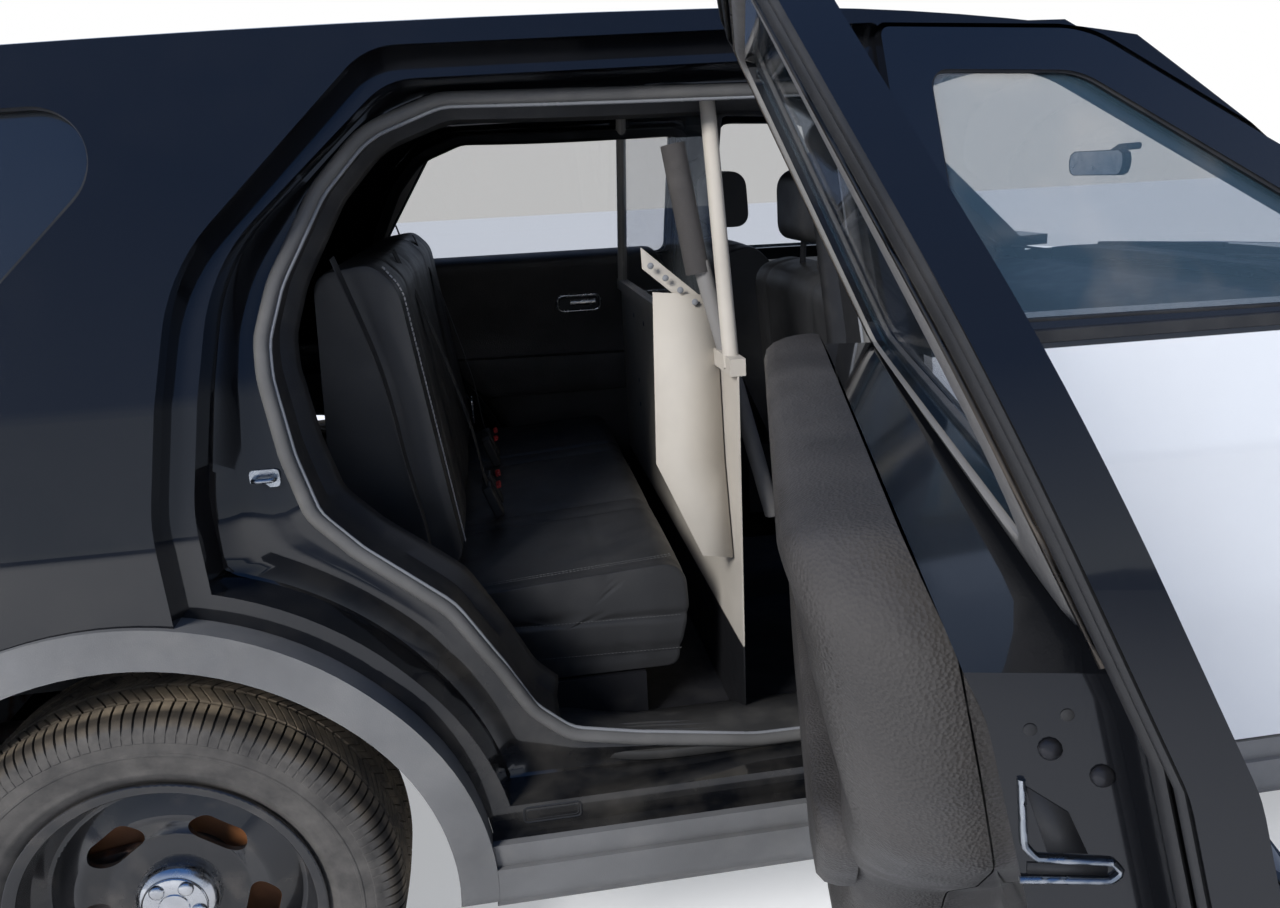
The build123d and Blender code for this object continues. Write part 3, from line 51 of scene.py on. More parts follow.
CAMERA_ROLL = -2.88

# Sizes of the vehicle that the dressing follows, in metres
HALF_W = 1.002
BELT_Z = 1.175
DOOR_TOP_Z = 1.664
DOOR_LOW_Z = 0.432
B_PILLAR_X = -0.190
C_SHUT_X = -1.330
DOOR_FRONT_X = 0.905
GAP = 0.007
# Rear right door's hinge, seen from above, and the angle at which it stands open
HINGE = (-0.2155, -0.978)
DOOR_OPEN_DEG = 75.0
HALF_TRACK = 0.851
AXLE_X = 1.430
TYRE_R = 0.3635
# Side in section: height, and how far it stands outside HALF_W
SIDE = [
    (0.254, -0.098), (0.313, -0.042), (0.430, -0.022), (0.720, 0.0), (0.985, -0.012), (1.175, -0.054),
    (1.925, -0.404),
]


def node(name):
    """A CAD node's object."""
    return bpy.data.objects[name] if name in bpy.data.objects else frame["nodes"][name]


class Nodes:
    """Short hand for building the node tree of a material or of the world."""

    def __init__(self, owner, shader="Principled BSDF", where="Object"):
        owner.use_nodes = True
        self.owner = owner
        self.tree = owner.node_tree
        self.shader = self.tree.nodes[shader]
        self.where = self.tree.nodes.new("ShaderNodeTexCoord").outputs[where]

    def put(self, socket, value):
        """Link a socket to another, or set its value."""
        if isinstance(value, bpy.types.NodeSocket):
            self.tree.links.new(value, socket)
        elif socket.type == "RGBA":
            socket.default_value = (*value, 1.0)
        else:
            socket.default_value = value

    def fill(self, made, inputs):
        for key, value in inputs.items():
            self.put(made.inputs[key.replace("_", " ")], value)
        return made

    def add(self, kind, **inputs):
        return self.fill(self.tree.nodes.new("ShaderNode" + kind), inputs)

    def set(self, **inputs):
        self.fill(self.shader, inputs)

    def noise(self, scale, detail=4.0, rough=0.55):
        made = self.add("TexNoise", Vector=self.where, Scale=scale, Detail=detail, Roughness=rough)
        return made.outputs["Fac"]

    def ramp(self, value, low, high):
        """Colour ramp between two stops, each a place and a colour."""
        made = self.add("ValToRGB", Fac=value)
        for step, (place, colour) in zip(made.color_ramp.elements, (low, high)):
            step.position = place
            step.color = (*colour, 1.0)
        return made.outputs["Color"]

    def fit(self, value, low, high, to_low, to_high):
        made = self.add("MapRange", Value=value, From_Min=low, From_Max=high, To_Min=to_low, To_Max=to_high)
        return made.outputs["Result"]

    def mix(self, factor, a, b):
        made = self.add("Mix")
        made.data_type = "RGBA"
        for index, value in ((0, factor), (6, a), (7, b)):
            self.put(made.inputs[index], value)
        return made.outputs[2]

    def math(self, kind, a, b=0.0):
        made = self.add("Math")
        made.operation = kind
        self.put(made.inputs[0], a)
        self.put(made.inputs[1], b)
        return made.outputs[0]

    def length(self, vector):
        made = self.add("VectorMath")
        made.operation = "LENGTH"
        self.put(made.inputs[0], vector)
        return made.outputs["Value"]

    def axis(self, index):
        return self.add("SeparateXYZ", Vector=self.where).outputs[index]

    def bump(self, height, strength, distance):
        made = self.add("Bump", Height=height, Strength=strength, Distance=distance)
        self.put(self.shader.inputs["Normal"], made.outputs["Normal"])

    def seen(self):
        """1 for camera and transmission rays, 0 for all others."""
        rays = self.add("LightPath").outputs
        return self.math("MAXIMUM", rays["Is Camera Ray"], rays["Is Transmission Ray"])


def material(name):
    """Node helper of a new material."""
    return Nodes(bpy.data.materials.new(name))


def toned(colour, share):
    """A colour times a share."""
    return tuple(c * share for c in colour)


PALE_DUST = (0.3, 0.28, 0.25)
DUST = (0.20, 0.18, 0.15)


def paint(name, colour, dust=0.03):
    """Gloss enamel under clear coat, with faint dust."""
    n = material(name)
    dirt = n.fit(n.noise(3.0), 0.45, 0.8, 0.0, dust)
    n.set(Base_Color=n.mix(dirt, colour, DUST))
    n.set(Roughness=n.fit(n.noise(6.0), 0.3, 0.8, 0.14, 0.30))
    n.set(Coat_Weight=1.0, Coat_Roughness=0.04)
    return n.owner


def plastic(name, colour, rough=0.5, grain=700.0, depth=0.25, spread=0.15, dust=PALE_DUST, dusty=0.12):
    """Moulded plastic with a fine grain, uneven fading and a little dust."""
    n = material(name)
    tone = n.ramp(n.noise(4.0), (0.3, toned(colour, 1 - spread)), (0.7, toned(colour, 1 + spread)))
    n.set(Base_Color=n.mix(n.fit(n.noise(11.0), 0.5, 0.9, 0.0, dusty), tone, dust))
    n.set(Roughness=n.fit(n.noise(23.0), 0.3, 0.7, rough - 0.07, rough + 0.1))
    cells = n.add("TexVoronoi", Vector=n.where, Scale=grain)
    n.bump(cells.outputs["Distance"], depth, 0.0006)
    return n.owner


def metal(name, colour, rough=0.35, rust=0.0, metallic=1.0):
    """Bare or coated metal with brushed noise and, where asked, patches of rust."""
    n = material(name)
    patches = n.fit(n.noise(14.0, rough=0.65), 0.58 - rust * 0.4, 0.72 - rust * 0.3, 0.0, 1.0)
    rusty = n.ramp(n.noise(60.0), (0.3, (0.10, 0.035, 0.015)), (0.7, (0.30, 0.13, 0.06)))
    clean = n.ramp(n.noise(30.0), (0.3, toned(colour, 0.8)), (0.7, colour))
    amount = patches if rust > 0 else n.fit(patches, 0.0, 1.0, 0.0, 0.05)
    n.set(Base_Color=n.mix(amount, clean, rusty))
    n.set(Metallic=n.fit(amount, 0.0, 1.0, metallic, 0.0))
    n.set(Roughness=n.fit(n.math("ADD", amount, n.noise(90.0)), 0.3, 1.6, rough * 0.8, 0.85))
    n.bump(n.noise(400.0), 0.12, 0.0006)
    return n.owner


def glass(name, tint, alpha):
    """Tinted glass with faint smears and dust."""
    n = material(name)
    n.set(Base_Color=n.ramp(n.noise(5.0), (0.5, tint), (0.9, (0.30, 0.29, 0.27))), Alpha=alpha)
    n.set(Roughness=0.03, IOR=1.5, Specular_IOR_Level=1.0, Coat_Weight=1.0, Coat_Roughness=0.02)
    return n.owner


def stitched(name, colour):
    """Sewing thread."""
    n = material(name)
    tone = n.ramp(n.noise(500.0, 2.0), (0.3, toned(colour, 0.7)), (0.7, colour))
    n.set(Base_Color=tone, Roughness=0.8)
    return n.owner


def leather(name, colour, rough=0.42, grain=900.0, depth=0.35):
    """Vinyl with a pebbled grain, uneven tone and patches of dust."""
    n = material(name)
    tone = n.ramp(n.noise(9.0), (0.3, toned(colour, 0.75)), (0.75, toned(colour, 1.35)))
    n.set(Base_Color=n.mix(n.fit(n.noise(4.0), 0.52, 0.85, 0.0, 0.10), tone, (0.30, 0.28, 0.26)))
    n.set(Roughness=n.fit(n.noise(18.0), 0.3, 0.7, rough - 0.06, rough + 0.12))
    cells = n.add("TexVoronoi", Vector=n.where, Scale=grain)
    coarse = n.math("MULTIPLY", n.noise(60.0, 3.0), 0.6)
    n.bump(n.math("ADD", cells.outputs["Distance"], coarse), depth, 0.0008)
    return n.owner


BLACK = (0.0055, 0.006, 0.0075)
BELT_PAINT_Z = 1.162
# Half the width over which one painted colour turns into the next
EDGE = 0.0005


def door_paint(name):
    """Front door: white below the belt, black window frame above."""
    n = material(name)
    high = n.fit(n.axis(2), BELT_PAINT_Z - EDGE, BELT_PAINT_Z + EDGE, 0.0, 1.0)
    dirt = n.fit(n.noise(3.0), 0.45, 0.85, 0.0, 0.08)
    white = n.mix(dirt, (0.76, 0.77, 0.78), (0.42, 0.38, 0.32))
    n.set(Base_Color=n.mix(high, white, BLACK), Roughness=n.fit(n.noise(6.0), 0.3, 0.8, 0.16, 0.30))
    n.set(Coat_Weight=1.0, Coat_Roughness=0.05)
    return n.owner


def glossy_black(name):
    """Black enamel under clear coat: dust low down, swirls of fine scratches."""
    n = material(name)
    low = n.fit(n.axis(2), 0.35, 1.05, 0.30, 0.01)
    dirt = n.math("MULTIPLY", n.fit(n.noise(5.0, rough=0.62), 0.46, 0.78, 0.0, 1.0), low)
    n.set(Base_Color=n.mix(dirt, BLACK, DUST))
    swirl = n.add("TexWave", Vector=n.where, Scale=55.0, Distortion=22.0, Detail=3.0, Detail_Scale=0.6)
    mark = n.fit(n.math("MULTIPLY", swirl.outputs["Fac"], n.noise(2.6, 3.0)), 0.42, 0.62, 0.0, 0.10)
    n.set(Roughness=n.math("ADD", n.math("ADD", n.math("MULTIPLY", dirt, 0.5), mark), 0.10))
    n.set(Coat_Weight=1.0, Coat_Roughness=0.05, Specular_IOR_Level=0.15)
    return n.owner


def lamp_lens(name):
    """Lamp units: clear over silver in front, red at the rear."""
    n = material(name)
    rear = n.fit(n.axis(0), -0.01, 0.01, 1.0, 0.0)
    ribs = n.add("TexWave", Vector=n.where, Scale=9.0, Distortion=0.0)
    clear = n.ramp(ribs.outputs["Fac"], (0.2, (0.10, 0.10, 0.11)), (0.8, (0.62, 0.64, 0.66)))
    red = n.ramp(ribs.outputs["Fac"], (0.2, (0.22, 0.004, 0.004)), (0.8, (0.42, 0.012, 0.010)))
    n.set(Base_Color=n.mix(rear, clear, red), Roughness=0.08, Coat_Weight=1.0, Coat_Roughness=0.03)
    return n.owner


def fixed_panes(name):
    """Fixed glass: clear windscreen, nearly black quarter panes."""
    n = material(name)
    behind = n.fit(n.axis(0), -0.2, -0.1, 1.0, 0.0)
    n.set(Base_Color=n.mix(behind, (0.05, 0.08, 0.10), (0.012, 0.014, 0.017)))
    n.set(Roughness=n.fit(n.noise(5.0), 0.4, 0.9, 0.02, 0.10))
    n.set(Alpha=n.fit(behind, 0.0, 1.0, 0.22, 0.90), IOR=1.5, Specular_IOR_Level=1.0, Coat_Weight=1.0)
    return n.owner


# Brake disc: its outer and inner faces from the centre plane, and its radius
DISC_FACE_Y = 0.848
DISC_BACK_Y = 0.791
DISC_R = 0.1765


def wheel_enamel(name):
    """Glossy black wheel, with the rust of the brake disc behind it."""
    n = material(name)
    depth = n.math("ABSOLUTE", n.axis(1))
    inside = n.fit(depth, DISC_FACE_Y - EDGE, DISC_FACE_Y + EDGE, 1.0, 0.0)
    hub = n.fit(depth, DISC_BACK_Y - EDGE * 2, DISC_BACK_Y + EDGE * 2, 0.0, 1.0)
    across = n.math("SUBTRACT", n.math("ABSOLUTE", n.axis(0)), AXLE_X)
    up = n.math("SUBTRACT", n.axis(2), TYRE_R)
    reach = n.length(n.add("CombineXYZ", X=across, Z=up).outputs[0])
    within = n.fit(reach, DISC_R - EDGE, DISC_R + EDGE, 1.0, 0.0)
    disc = n.math("MULTIPLY", n.math("MULTIPLY", inside, hub), within)
    rust = n.ramp(n.noise(9.0), (0.3, (0.20, 0.075, 0.028)), (0.7, (0.42, 0.18, 0.075)))
    dust = n.mix(n.fit(n.noise(14.0), 0.5, 0.85, 0.0, 0.22), (0.010, 0.010, 0.011), (0.25, 0.21, 0.17))
    n.set(Base_Color=n.mix(disc, dust, rust), Roughness=n.fit(disc, 0.0, 1.0, 0.16, 0.65), Coat_Weight=0.6)
    return n.owner


def tyre_skin(name):
    """Tyre: browner and paler with dust on the tread, dark grey sidewall, and painted shade in the grooves.
    """
    n = material(name)
    out = n.length(n.add("CombineXYZ", X=n.axis(0), Z=n.axis(2)).outputs[0])
    dust = n.noise(16.0, rough=0.65)
    tread = n.ramp(dust, (0.32, (0.060, 0.052, 0.043)), (0.72, (0.26, 0.205, 0.140)))
    wall = n.ramp(dust, (0.3, (0.050, 0.047, 0.044)), (0.75, (0.125, 0.115, 0.104)))
    # Painted shade: the grooves' floors and walls, and the shoulders just below the crown, are drawn nearly
    # black
    groove = n.fit(out, 0.3560, 0.3595, 1.0, 0.0)
    face = n.fit(out, 0.338, 0.352, 0.0, 1.0)
    deep = n.math("MULTIPLY", groove, face)
    colour = n.mix(face, wall, tread)
    n.set(Base_Color=n.mix(n.math("MULTIPLY", deep, 0.85), colour, (0.012, 0.011, 0.010)), Roughness=0.82)
    n.bump(n.noise(260.0), 0.25, 0.0008)
    return n.owner


def sheet_paint_and_shade(name):
    """Beige powder coat of the partition, with painted shade, nearly black, below the seat."""
    n = material(name)
    # Painted shade: below z 0.60 the sheet is drawn nearly black for the shadow under the seat
    low = n.fit(n.axis(2), 0.600, 0.604, 1.0, 0.0)
    tone = n.ramp(n.noise(5.0), (0.3, (0.44, 0.40, 0.345)), (0.7, (0.52, 0.475, 0.41)))
    n.set(Base_Color=n.mix(low, tone, (0.012, 0.012, 0.013)))
    n.set(Roughness=n.fit(n.noise(20.0), 0.3, 0.7, 0.40, 0.55))
    n.bump(n.noise(900.0, 3.0), 0.08, 0.0006)
    return n.owner


MATERIALS = {
    "black_paint": glossy_black("black_paint"),
    "white_paint": door_paint("white_paint"),
    "black_bumper": paint("black_bumper", (0.010, 0.011, 0.013), 0.06),
    "grille_plastic": plastic("grille_plastic", (0.02, 0.02, 0.02), 0.45),
    "lamp_plastic": lamp_lens("lamp_plastic"),
    "grey_cladding": plastic("grey_cladding", (0.150, 0.149, 0.148), 0.50, 500.0, spread=0.22, dusty=0.25),
    "tinted_glass": fixed_panes("tinted_glass"),
    "door_glass": glass("door_glass", (0.06, 0.11, 0.15), 0.30),
    "clear_pane": glass("clear_pane", (0.30, 0.33, 0.35), 0.20),
    "trim_plastic": leather("trim_plastic", (0.030, 0.028, 0.026), 0.46, 420.0, 0.7),
    "mirror_plastic": paint("mirror_plastic", (0.012, 0.012, 0.014)),
    "tyre_rubber": plastic(
        "tyre_rubber", (0.045, 0.042, 0.039), 0.8, 300.0, 0.2, 0.2, (0.22, 0.18, 0.14), 0.3),
    "wheel_steel": wheel_enamel("wheel_steel"),
    "suspension_iron": metal("suspension_iron", (0.16, 0.14, 0.13), 0.6, 0.3),
    "engine_metal": metal("engine_metal", (0.42, 0.42, 0.43), 0.5, 0.05),
    "exhaust_steel": metal("exhaust_steel", (0.38, 0.36, 0.34), 0.45, 0.2),
    "tank_plastic": plastic("tank_plastic", (0.03, 0.03, 0.03), 0.5),
    "seat_vinyl": leather("seat_vinyl", (0.030, 0.030, 0.031), 0.40, 1100.0, 0.25),
    "partition_paint": sheet_paint_and_shade("partition_paint"),
    "dash_plastic": plastic("dash_plastic", (0.022, 0.024, 0.027), 0.55, 420.0, 0.4),
    "floor_paint": plastic("floor_paint", (0.016, 0.016, 0.018), 0.6, 300.0, 0.3),
}
SEAL = plastic("seal_rubber", (0.105, 0.102, 0.098), 0.55, 900.0, 0.1, 0.25, dusty=0.30)
DARK_SEAL = plastic("dark_rubber", (0.022, 0.022, 0.023), 0.50, 900.0, 0.1, 0.2, dusty=0.10)
FRAME_GREY = plastic("frame_grey", (0.215, 0.205, 0.195), 0.60, 600.0, 0.3, 0.08, dusty=0.05)
JAMB_TRIM = plastic("jamb_trim", (0.020, 0.020, 0.021), 0.55, 500.0, 0.3)
SILL_TRIM = plastic("sill_trim", (0.040, 0.039, 0.038), 0.42, 600.0, 0.3, 0.2, dusty=0.25)
DOOR_VINYL = leather("door_vinyl", (0.047, 0.043, 0.040), 0.44, 360.0, 0.9)
THREAD = stitched("thread", (0.42, 0.41, 0.40))
DARK_THREAD = stitched("dark_thread", (0.10, 0.10, 0.10))
CHROME = metal("chrome", (0.80, 0.81, 0.82), 0.12)
ZINC = metal("zinc", (0.50, 0.53, 0.56), 0.25)
SCREW = metal("dark_screw", (0.05, 0.05, 0.055), 0.35, 0.0, 0.8)
FOAM = plastic("foam_sleeve", (0.060, 0.055, 0.052), 0.85, 420.0, 0.5, 0.15, dusty=0.2)
WEBBING = plastic("webbing", (0.018, 0.018, 0.019), 0.75, 700.0, 0.5)
RED = plastic("red_button", (0.42, 0.02, 0.015), 0.40)
PLATE_WHITE = plastic("blank_plate", (0.70, 0.71, 0.72), 0.35, 200.0, 0.05, 0.04)
BRONZE = metal("trim_bronze", (0.16, 0.135, 0.11), 0.30)
MIRROR = metal("mirror_face", (0.86, 0.88, 0.90), 0.03)
HANDLE_GREY = plastic("handle_grey", (0.20, 0.205, 0.215), 0.30, 800.0, 0.1)

SLOTS = {part["node"]: part["material_slot"] for part in frame["record"]["subparts"]}
for name, slot in SLOTS.items():
    chosen = "door_glass" if "door" in name and "glass" in name else slot
    for place in node(name).material_slots:
        place.material = MATERIALS[chosen]


def side_y(z, depth=0.0):
    """Right side's surface at a height, that deep inside it."""
    w = np.interp(z, [p[0] for p in SIDE], [p[1] for p in SIDE])
    return -(HALF_W + w - depth)


def rounded(corners, closed=True, step=0.02):
    """Polyline through corners given as (u, v, radius)."""
    made = []
    count = len(corners)
    for i, (u, v, r) in enumerate(corners):
        here = np.array((u, v))
        if not closed and i in (0, count - 1):
            made.append(here)
            continue
        a = np.array(corners[i - 1][:2]) - here
        b = np.array(corners[(i + 1) % count][:2]) - here
        la, lb = np.linalg.norm(a), np.linalg.norm(b)
        a, b = a / la, b / lb
        half = math.acos(float(a @ b)) / 2
        run = min(r / math.tan(half), 0.48 * la, 0.48 * lb)
        r = run * math.tan(half)
        centre = here + (a + b) / np.linalg.norm(a + b) * r / math.sin(half)
        first, last = here + a * run - centre, here + b * run - centre
        turn = math.atan2(first[0] * last[1] - first[1] * last[0], float(first @ last))
        parts = max(3, int(abs(turn) * r / step) + 2)
        for t in np.linspace(0, turn, parts):
            c, s = math.cos(t), math.sin(t)
            made.append(centre + np.array((c * first[0] - s * first[1], s * first[0] + c * first[1])))
    return np.array(made)


def oblong(u0, v0, u1, v1, r):
    """Rectangle with rounded corners."""
    return rounded([(u0, v0, r), (u1, v0, r), (u1, v1, r), (u0, v1, r)])


def evenly(path, step, closed=False):
    """The same polyline with points a step apart."""
    path = np.asarray(path, float)
    if closed:
        path = np.vstack([path, path[:1]])
    lengths = np.r_[0, np.cumsum(np.linalg.norm(np.diff(path, axis=0), axis=1))]
    count = max(2, int(lengths[-1] / step) + 1)
    at = np.linspace(0, lengths[-1], count)
    made = np.stack([np.interp(at, lengths, path[:, k]) for k in range(path.shape[1])], 1)
    return made[:-1] if closed else made


def front_door_outline(grow):
    """Front door's edge, grown by that much, as x and z."""
    return rounded([
        (DOOR_FRONT_X + grow, DOOR_LOW_Z - grow, 0.06),
        (DOOR_FRONT_X + grow, BELT_Z - 0.006 + grow / 2, 0.03),
        (0.170 + grow / 2, DOOR_TOP_Z - 0.013 + grow, 0.18),
        (B_PILLAR_X + GAP / 2 - grow, DOOR_TOP_Z + grow, 0.015),
        (B_PILLAR_X + GAP / 2 - grow, DOOR_LOW_Z - grow, 0.04),
    ])


def rear_door_outline(grow):
    """Rear door's edge with the wheel arch's bite, grown by that much."""
    ring = rounded([
        (B_PILLAR_X - GAP / 2 + grow, DOOR_LOW_Z - grow, 0.04),
        (B_PILLAR_X - GAP / 2 + grow, DOOR_TOP_Z + grow, 0.015),
        (C_SHUT_X + 0.335 - grow / 2, DOOR_TOP_Z - 0.012 + grow, 0.11),
        (C_SHUT_X + 0.045 - grow, BELT_Z + 0.18, 0.26), (C_SHUT_X - grow, BELT_Z - 0.15, 0.25),
        (C_SHUT_X + 0.03 - grow, DOOR_LOW_Z - grow, 0.04),
    ])
    return bitten(evenly(ring, 0.012, True), 0.514 - grow)


def bitten(ring, radius):
    """A ring whose points inside the rear wheel arch are pushed out to it."""
    hub = np.array((-AXLE_X, TYRE_R))
    keep = np.linalg.norm(ring - hub, axis=1) > radius
    if keep.all():
        return ring
    start = int(np.argmax(keep & ~np.roll(keep, 1)))
    kept = np.roll(ring, -start, axis=0)[: int(keep.sum())]
    a, b = kept[-1] - hub, kept[0] - hub
    first, last = math.atan2(a[1], a[0]), math.atan2(b[1], b[0])
    turns = np.linspace(first, last, 26)[1:-1]
    return np.vstack([kept, [hub + radius * np.array((math.cos(t), math.sin(t))) for t in turns]])


def front_window_outline(grow):
    """Front door's window."""
    return rounded([
        (0.745 + grow, BELT_Z + 0.02 - grow, 0.04), (0.145 + grow / 2, DOOR_TOP_Z - 0.08 + grow, 0.13),
        (B_PILLAR_X + 0.075 - grow, DOOR_TOP_Z - 0.07 + grow, 0.03),
        (B_PILLAR_X + 0.075 - grow, BELT_Z + 0.028 - grow, 0.03),
    ])


def rear_window_outline(grow):
    """Rear door's window."""
    return rounded([
        (B_PILLAR_X - 0.075 + grow, BELT_Z + 0.028 - grow, 0.03),
        (B_PILLAR_X - 0.075 + grow, DOOR_TOP_Z - 0.07 + grow, 0.03),
        (C_SHUT_X + 0.37 - grow / 2, DOOR_TOP_Z - 0.08 + grow, 0.07),
        (C_SHUT_X + 0.13 - grow, BELT_Z + 0.05 - grow, 0.06),
    ])


def quarter_window_outline(grow):
    """Fixed window behind the rear door."""
    return rounded([
        (C_SHUT_X - 0.29 + grow * 1.2, BELT_Z + 0.06 - grow, 0.04),
        (C_SHUT_X + 0.045 + grow * 0.6, DOOR_TOP_Z - 0.07 + grow, 0.08),
        (-AXLE_X - 0.72 - grow, DOOR_TOP_Z - 0.095 + grow, 0.09),
        (-AXLE_X - 0.80 - grow, BELT_Z + 0.075 - grow, 0.06),
    ])


def on_side(ring, depth):
    """Right side points, that deep inside the surface, for points in x and z."""
    return np.stack([ring[:, 0], side_y(ring[:, 1], depth), ring[:, 1]], 1)


def flipped(shape):
    """The same shape on the car's other side."""
    verts, faces = shape
    return np.asarray(verts, float) * (1, -1, 1), [tuple(reversed(f)) for f in faces]


def opened(shape):
    """A right rear door's shape at the angle at which the door stands."""
    verts, faces = shape
    verts = np.array(verts, float)
    turn = math.radians(DOOR_OPEN_DEG)
    flat = verts[:, :2] - HINGE
    verts[:, 0] = HINGE[0] + flat[:, 0] * math.cos(turn) - flat[:, 1] * math.sin(turn)
    verts[:, 1] = HINGE[1] + flat[:, 0] * math.sin(turn) + flat[:, 1] * math.cos(turn)
    return verts, faces


def merged(*shapes):
    """One shape out of several."""
    verts, faces, count = [], [], 0
    for v, f in shapes:
        verts.append(np.asarray(v, float))
        faces += [tuple(i + count for i in face) for face in f]
        count += len(v)
    return np.vstack(verts), faces


def grid(points, wrap_u=False, wrap_v=False, caps=False):
    """Quads over rows of points."""
    points = np.asarray(points, float)
    rows, cols = points.shape[:2]
    faces = []
    for i in range(rows if wrap_u else rows - 1):
        for j in range(cols if wrap_v else cols - 1):
            a, b = i * cols + j, i * cols + (j + 1) % cols
            c, d = (i + 1) % rows * cols + (j + 1) % cols, (i + 1) % rows * cols + j
            faces.append((a, b, c, d))
    if caps:
        faces.append(tuple(range(cols - 1, -1, -1)))
        faces.append(tuple((rows - 1) * cols + j for j in range(cols)))
    return points.reshape(-1, 3), faces


def sweep(path, profile, closed=False, out=(0, 1, 0)):
    """A profile, given across and along the outward direction, swept along a path."""
    path = np.asarray(path, float)
    if closed:
        tangent = np.roll(path, -1, axis=0) - np.roll(path, 1, axis=0)
    else:
        tangent = np.gradient(path, axis=0)
    tangent /= np.linalg.norm(tangent, axis=1)[:, None]
    out = np.broadcast_to(np.asarray(out, float), path.shape)
    across = np.cross(tangent, out)
    across /= np.linalg.norm(across, axis=1)[:, None]
    normal = np.cross(across, tangent)
    profile = np.asarray(profile, float)
    points = path[:, None] + across[:, None] * profile[None, :, :1] + normal[:, None] * profile[None, :, 1:]
    return grid(points, wrap_u=closed, wrap_v=True, caps=not closed)


def circle(radius, count=10, flat=1.0):
    """Round profile."""
    turn = np.linspace(0, 2 * math.pi, count, endpoint=False)
    return np.stack([radius * np.cos(turn), radius * flat * np.sin(turn)], 1)


def block(centre, size, turn=None):
    """Box with its centre and size, turned by a matrix if one is given."""
    corners = np.array([(x, y, z) for x in (-0.5, 0.5) for y in (-0.5, 0.5) for z in (-0.5, 0.5)]) * size
    if turn is not None:
        corners = corners @ np.array(turn).T
    faces = [(0, 1, 3, 2), (4, 6, 7, 5), (0, 4, 5, 1), (2, 3, 7, 6), (0, 2, 6, 4), (1, 5, 7, 3)]
    return corners + np.asarray(centre, float), faces


def plate(ring, low, high, axis=1):
    """Flat plate with a ring for its outline, between two places on an axis."""
    ring = np.asarray(ring, float)
    rows = []
    for place in (low, high):
        points = np.zeros((len(ring), 3))
        points[:, [k for k in range(3) if k != axis]] = ring
        points[:, axis] = place
        rows.append(points)
    return grid(rows, wrap_v=True, caps=True)


def spun(profile, axis="y", count=96, centre=(0, 0, 0)):
    """Cap or bowl from a profile of radius and place along an axis."""
    turn = np.linspace(0, 2 * math.pi, count, endpoint=False)
    points = np.array([[(r * math.cos(t), s, r * math.sin(t)) for t in turn] for r, s in profile])
    order = {"x": [1, 0, 2], "y": [0, 1, 2], "z": [0, 2, 1]}[axis]
    return grid(points[..., order] + np.asarray(centre, float), wrap_v=True)


def domes(places, radius, height, axis, sign):
    """Small domed heads, such as rivets and screws, facing along an axis."""
    shares = ((1.0, 0.0), (0.96, 0.45), (0.7, 0.85), (0.02, 1.0))
    profile = [(radius * r, sign * height * s) for r, s in shares]
    return merged(*[spun(profile, axis, 12, place) for place in places])


def placed(name, data):
    """A new object in the scene."""
    made = bpy.data.objects.new(name, data)
    bpy.context.scene.collection.objects.link(made)
    return made


def show(name, shape, body, material, slot=None, smooth=40.0, bevel=0.0, subdivide=0, solid=0.0, replaces=()):
    """A scene piece out of a shape, riding on a body."""
    mesh = bpy.data.meshes.new(name)
    verts, faces = shape
    mesh.from_pydata([tuple(v) for v in verts], [], faces)
    made = bmesh.new()
    made.from_mesh(mesh)
    bmesh.ops.remove_doubles(made, verts=made.verts, dist=1e-6)
    bmesh.ops.recalc_face_normals(made, faces=made.faces)
    made.to_mesh(mesh)
    made.free()
    mesh.materials.append(material)
    piece = placed(name, mesh)
    if solid:
        layer = piece.modifiers.new("solid", "SOLIDIFY")
        layer.thickness = solid
        layer.offset = 0.0
    if bevel:
        layer = piece.modifiers.new("bevel", "BEVEL")
        layer.width = bevel
        layer.segments = 2
        layer.limit_method = "ANGLE"
    if subdivide:
        layer = piece.modifiers.new("round", "SUBSURF")
        layer.levels = subdivide
        layer.render_levels = subdivide
    mesh.polygons.foreach_set("use_smooth", [True] * len(mesh.polygons))
    mesh.set_sharp_from_angle(angle=math.radians(smooth))
    if body:
        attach(piece, body)
    if replaces:
        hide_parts(*replaces)
    return piece


def show_side(name, shape, side, body, material, **more):
    """A piece drawn for the shut right side: mirrored for the left, turned with the open rear door."""
    if side == "left":
        shape = flipped(shape)
    elif body == "door_rear_right":
        shape = opened(shape)
    return show(f"{name}_{side}", shape, body, material, **more)


# Tyre in section, from bead to crown: distance from the centre plane, radius, and a slot's cut in both
TYRE_HALF = [
    (0.0950, 0.2296, 0, 0), (0.1030, 0.2436, 0, 0), (0.1075, 0.2500, 0, 0), (0.1120, 0.2570, 0, 0),
    (0.1142, 0.2600, 0, 0), (0.1152, 0.2640, 0, 0), (0.1150, 0.2672, 0, 0), (0.1165, 0.2720, 0, 0),
    (0.1190, 0.2800, 0, 0), (0.1212, 0.2890, 0, 0), (0.1218, 0.2950, 0, 0), (0.1232, 0.2965, 0, 0),
    (0.1232, 0.3005, 0, 0), (0.1218, 0.3022, 0, 0), (0.1208, 0.3110, 0, 0), (0.1200, 0.3165, 0, 0),
    (0.1212, 0.3180, -0.0010, 0), (0.1196, 0.3270, -0.0012, 0), (0.1178, 0.3290, 0, 0),
    (0.1166, 0.3330, -0.0014, 0), (0.1142, 0.3392, -0.0028, -0.001), (0.1106, 0.3452, -0.003, -0.003),
    (0.1056, 0.3507, -0.002, -0.005), (0.0990, 0.3552, -0.001, -0.006), (0.0910, 0.3585, 0, -0.0065),
    (0.0760, 0.3612, 0, -0.0065), (0.0752, 0.3530, 0, 0), (0.0690, 0.3530, 0, 0),
    (0.0682, 0.3615, 0, -0.006), (0.0500, 0.3624, 0, -0.006), (0.0318, 0.3630, 0, -0.006),
    (0.0310, 0.3550, 0, 0), (0.0250, 0.3550, 0, 0), (0.0242, 0.3632, 0, -0.006),
    (0.0120, 0.3635, 0, -0.006), (0.0, 0.3635, 0, -0.006),
]
TREAD_PITCHES = 134
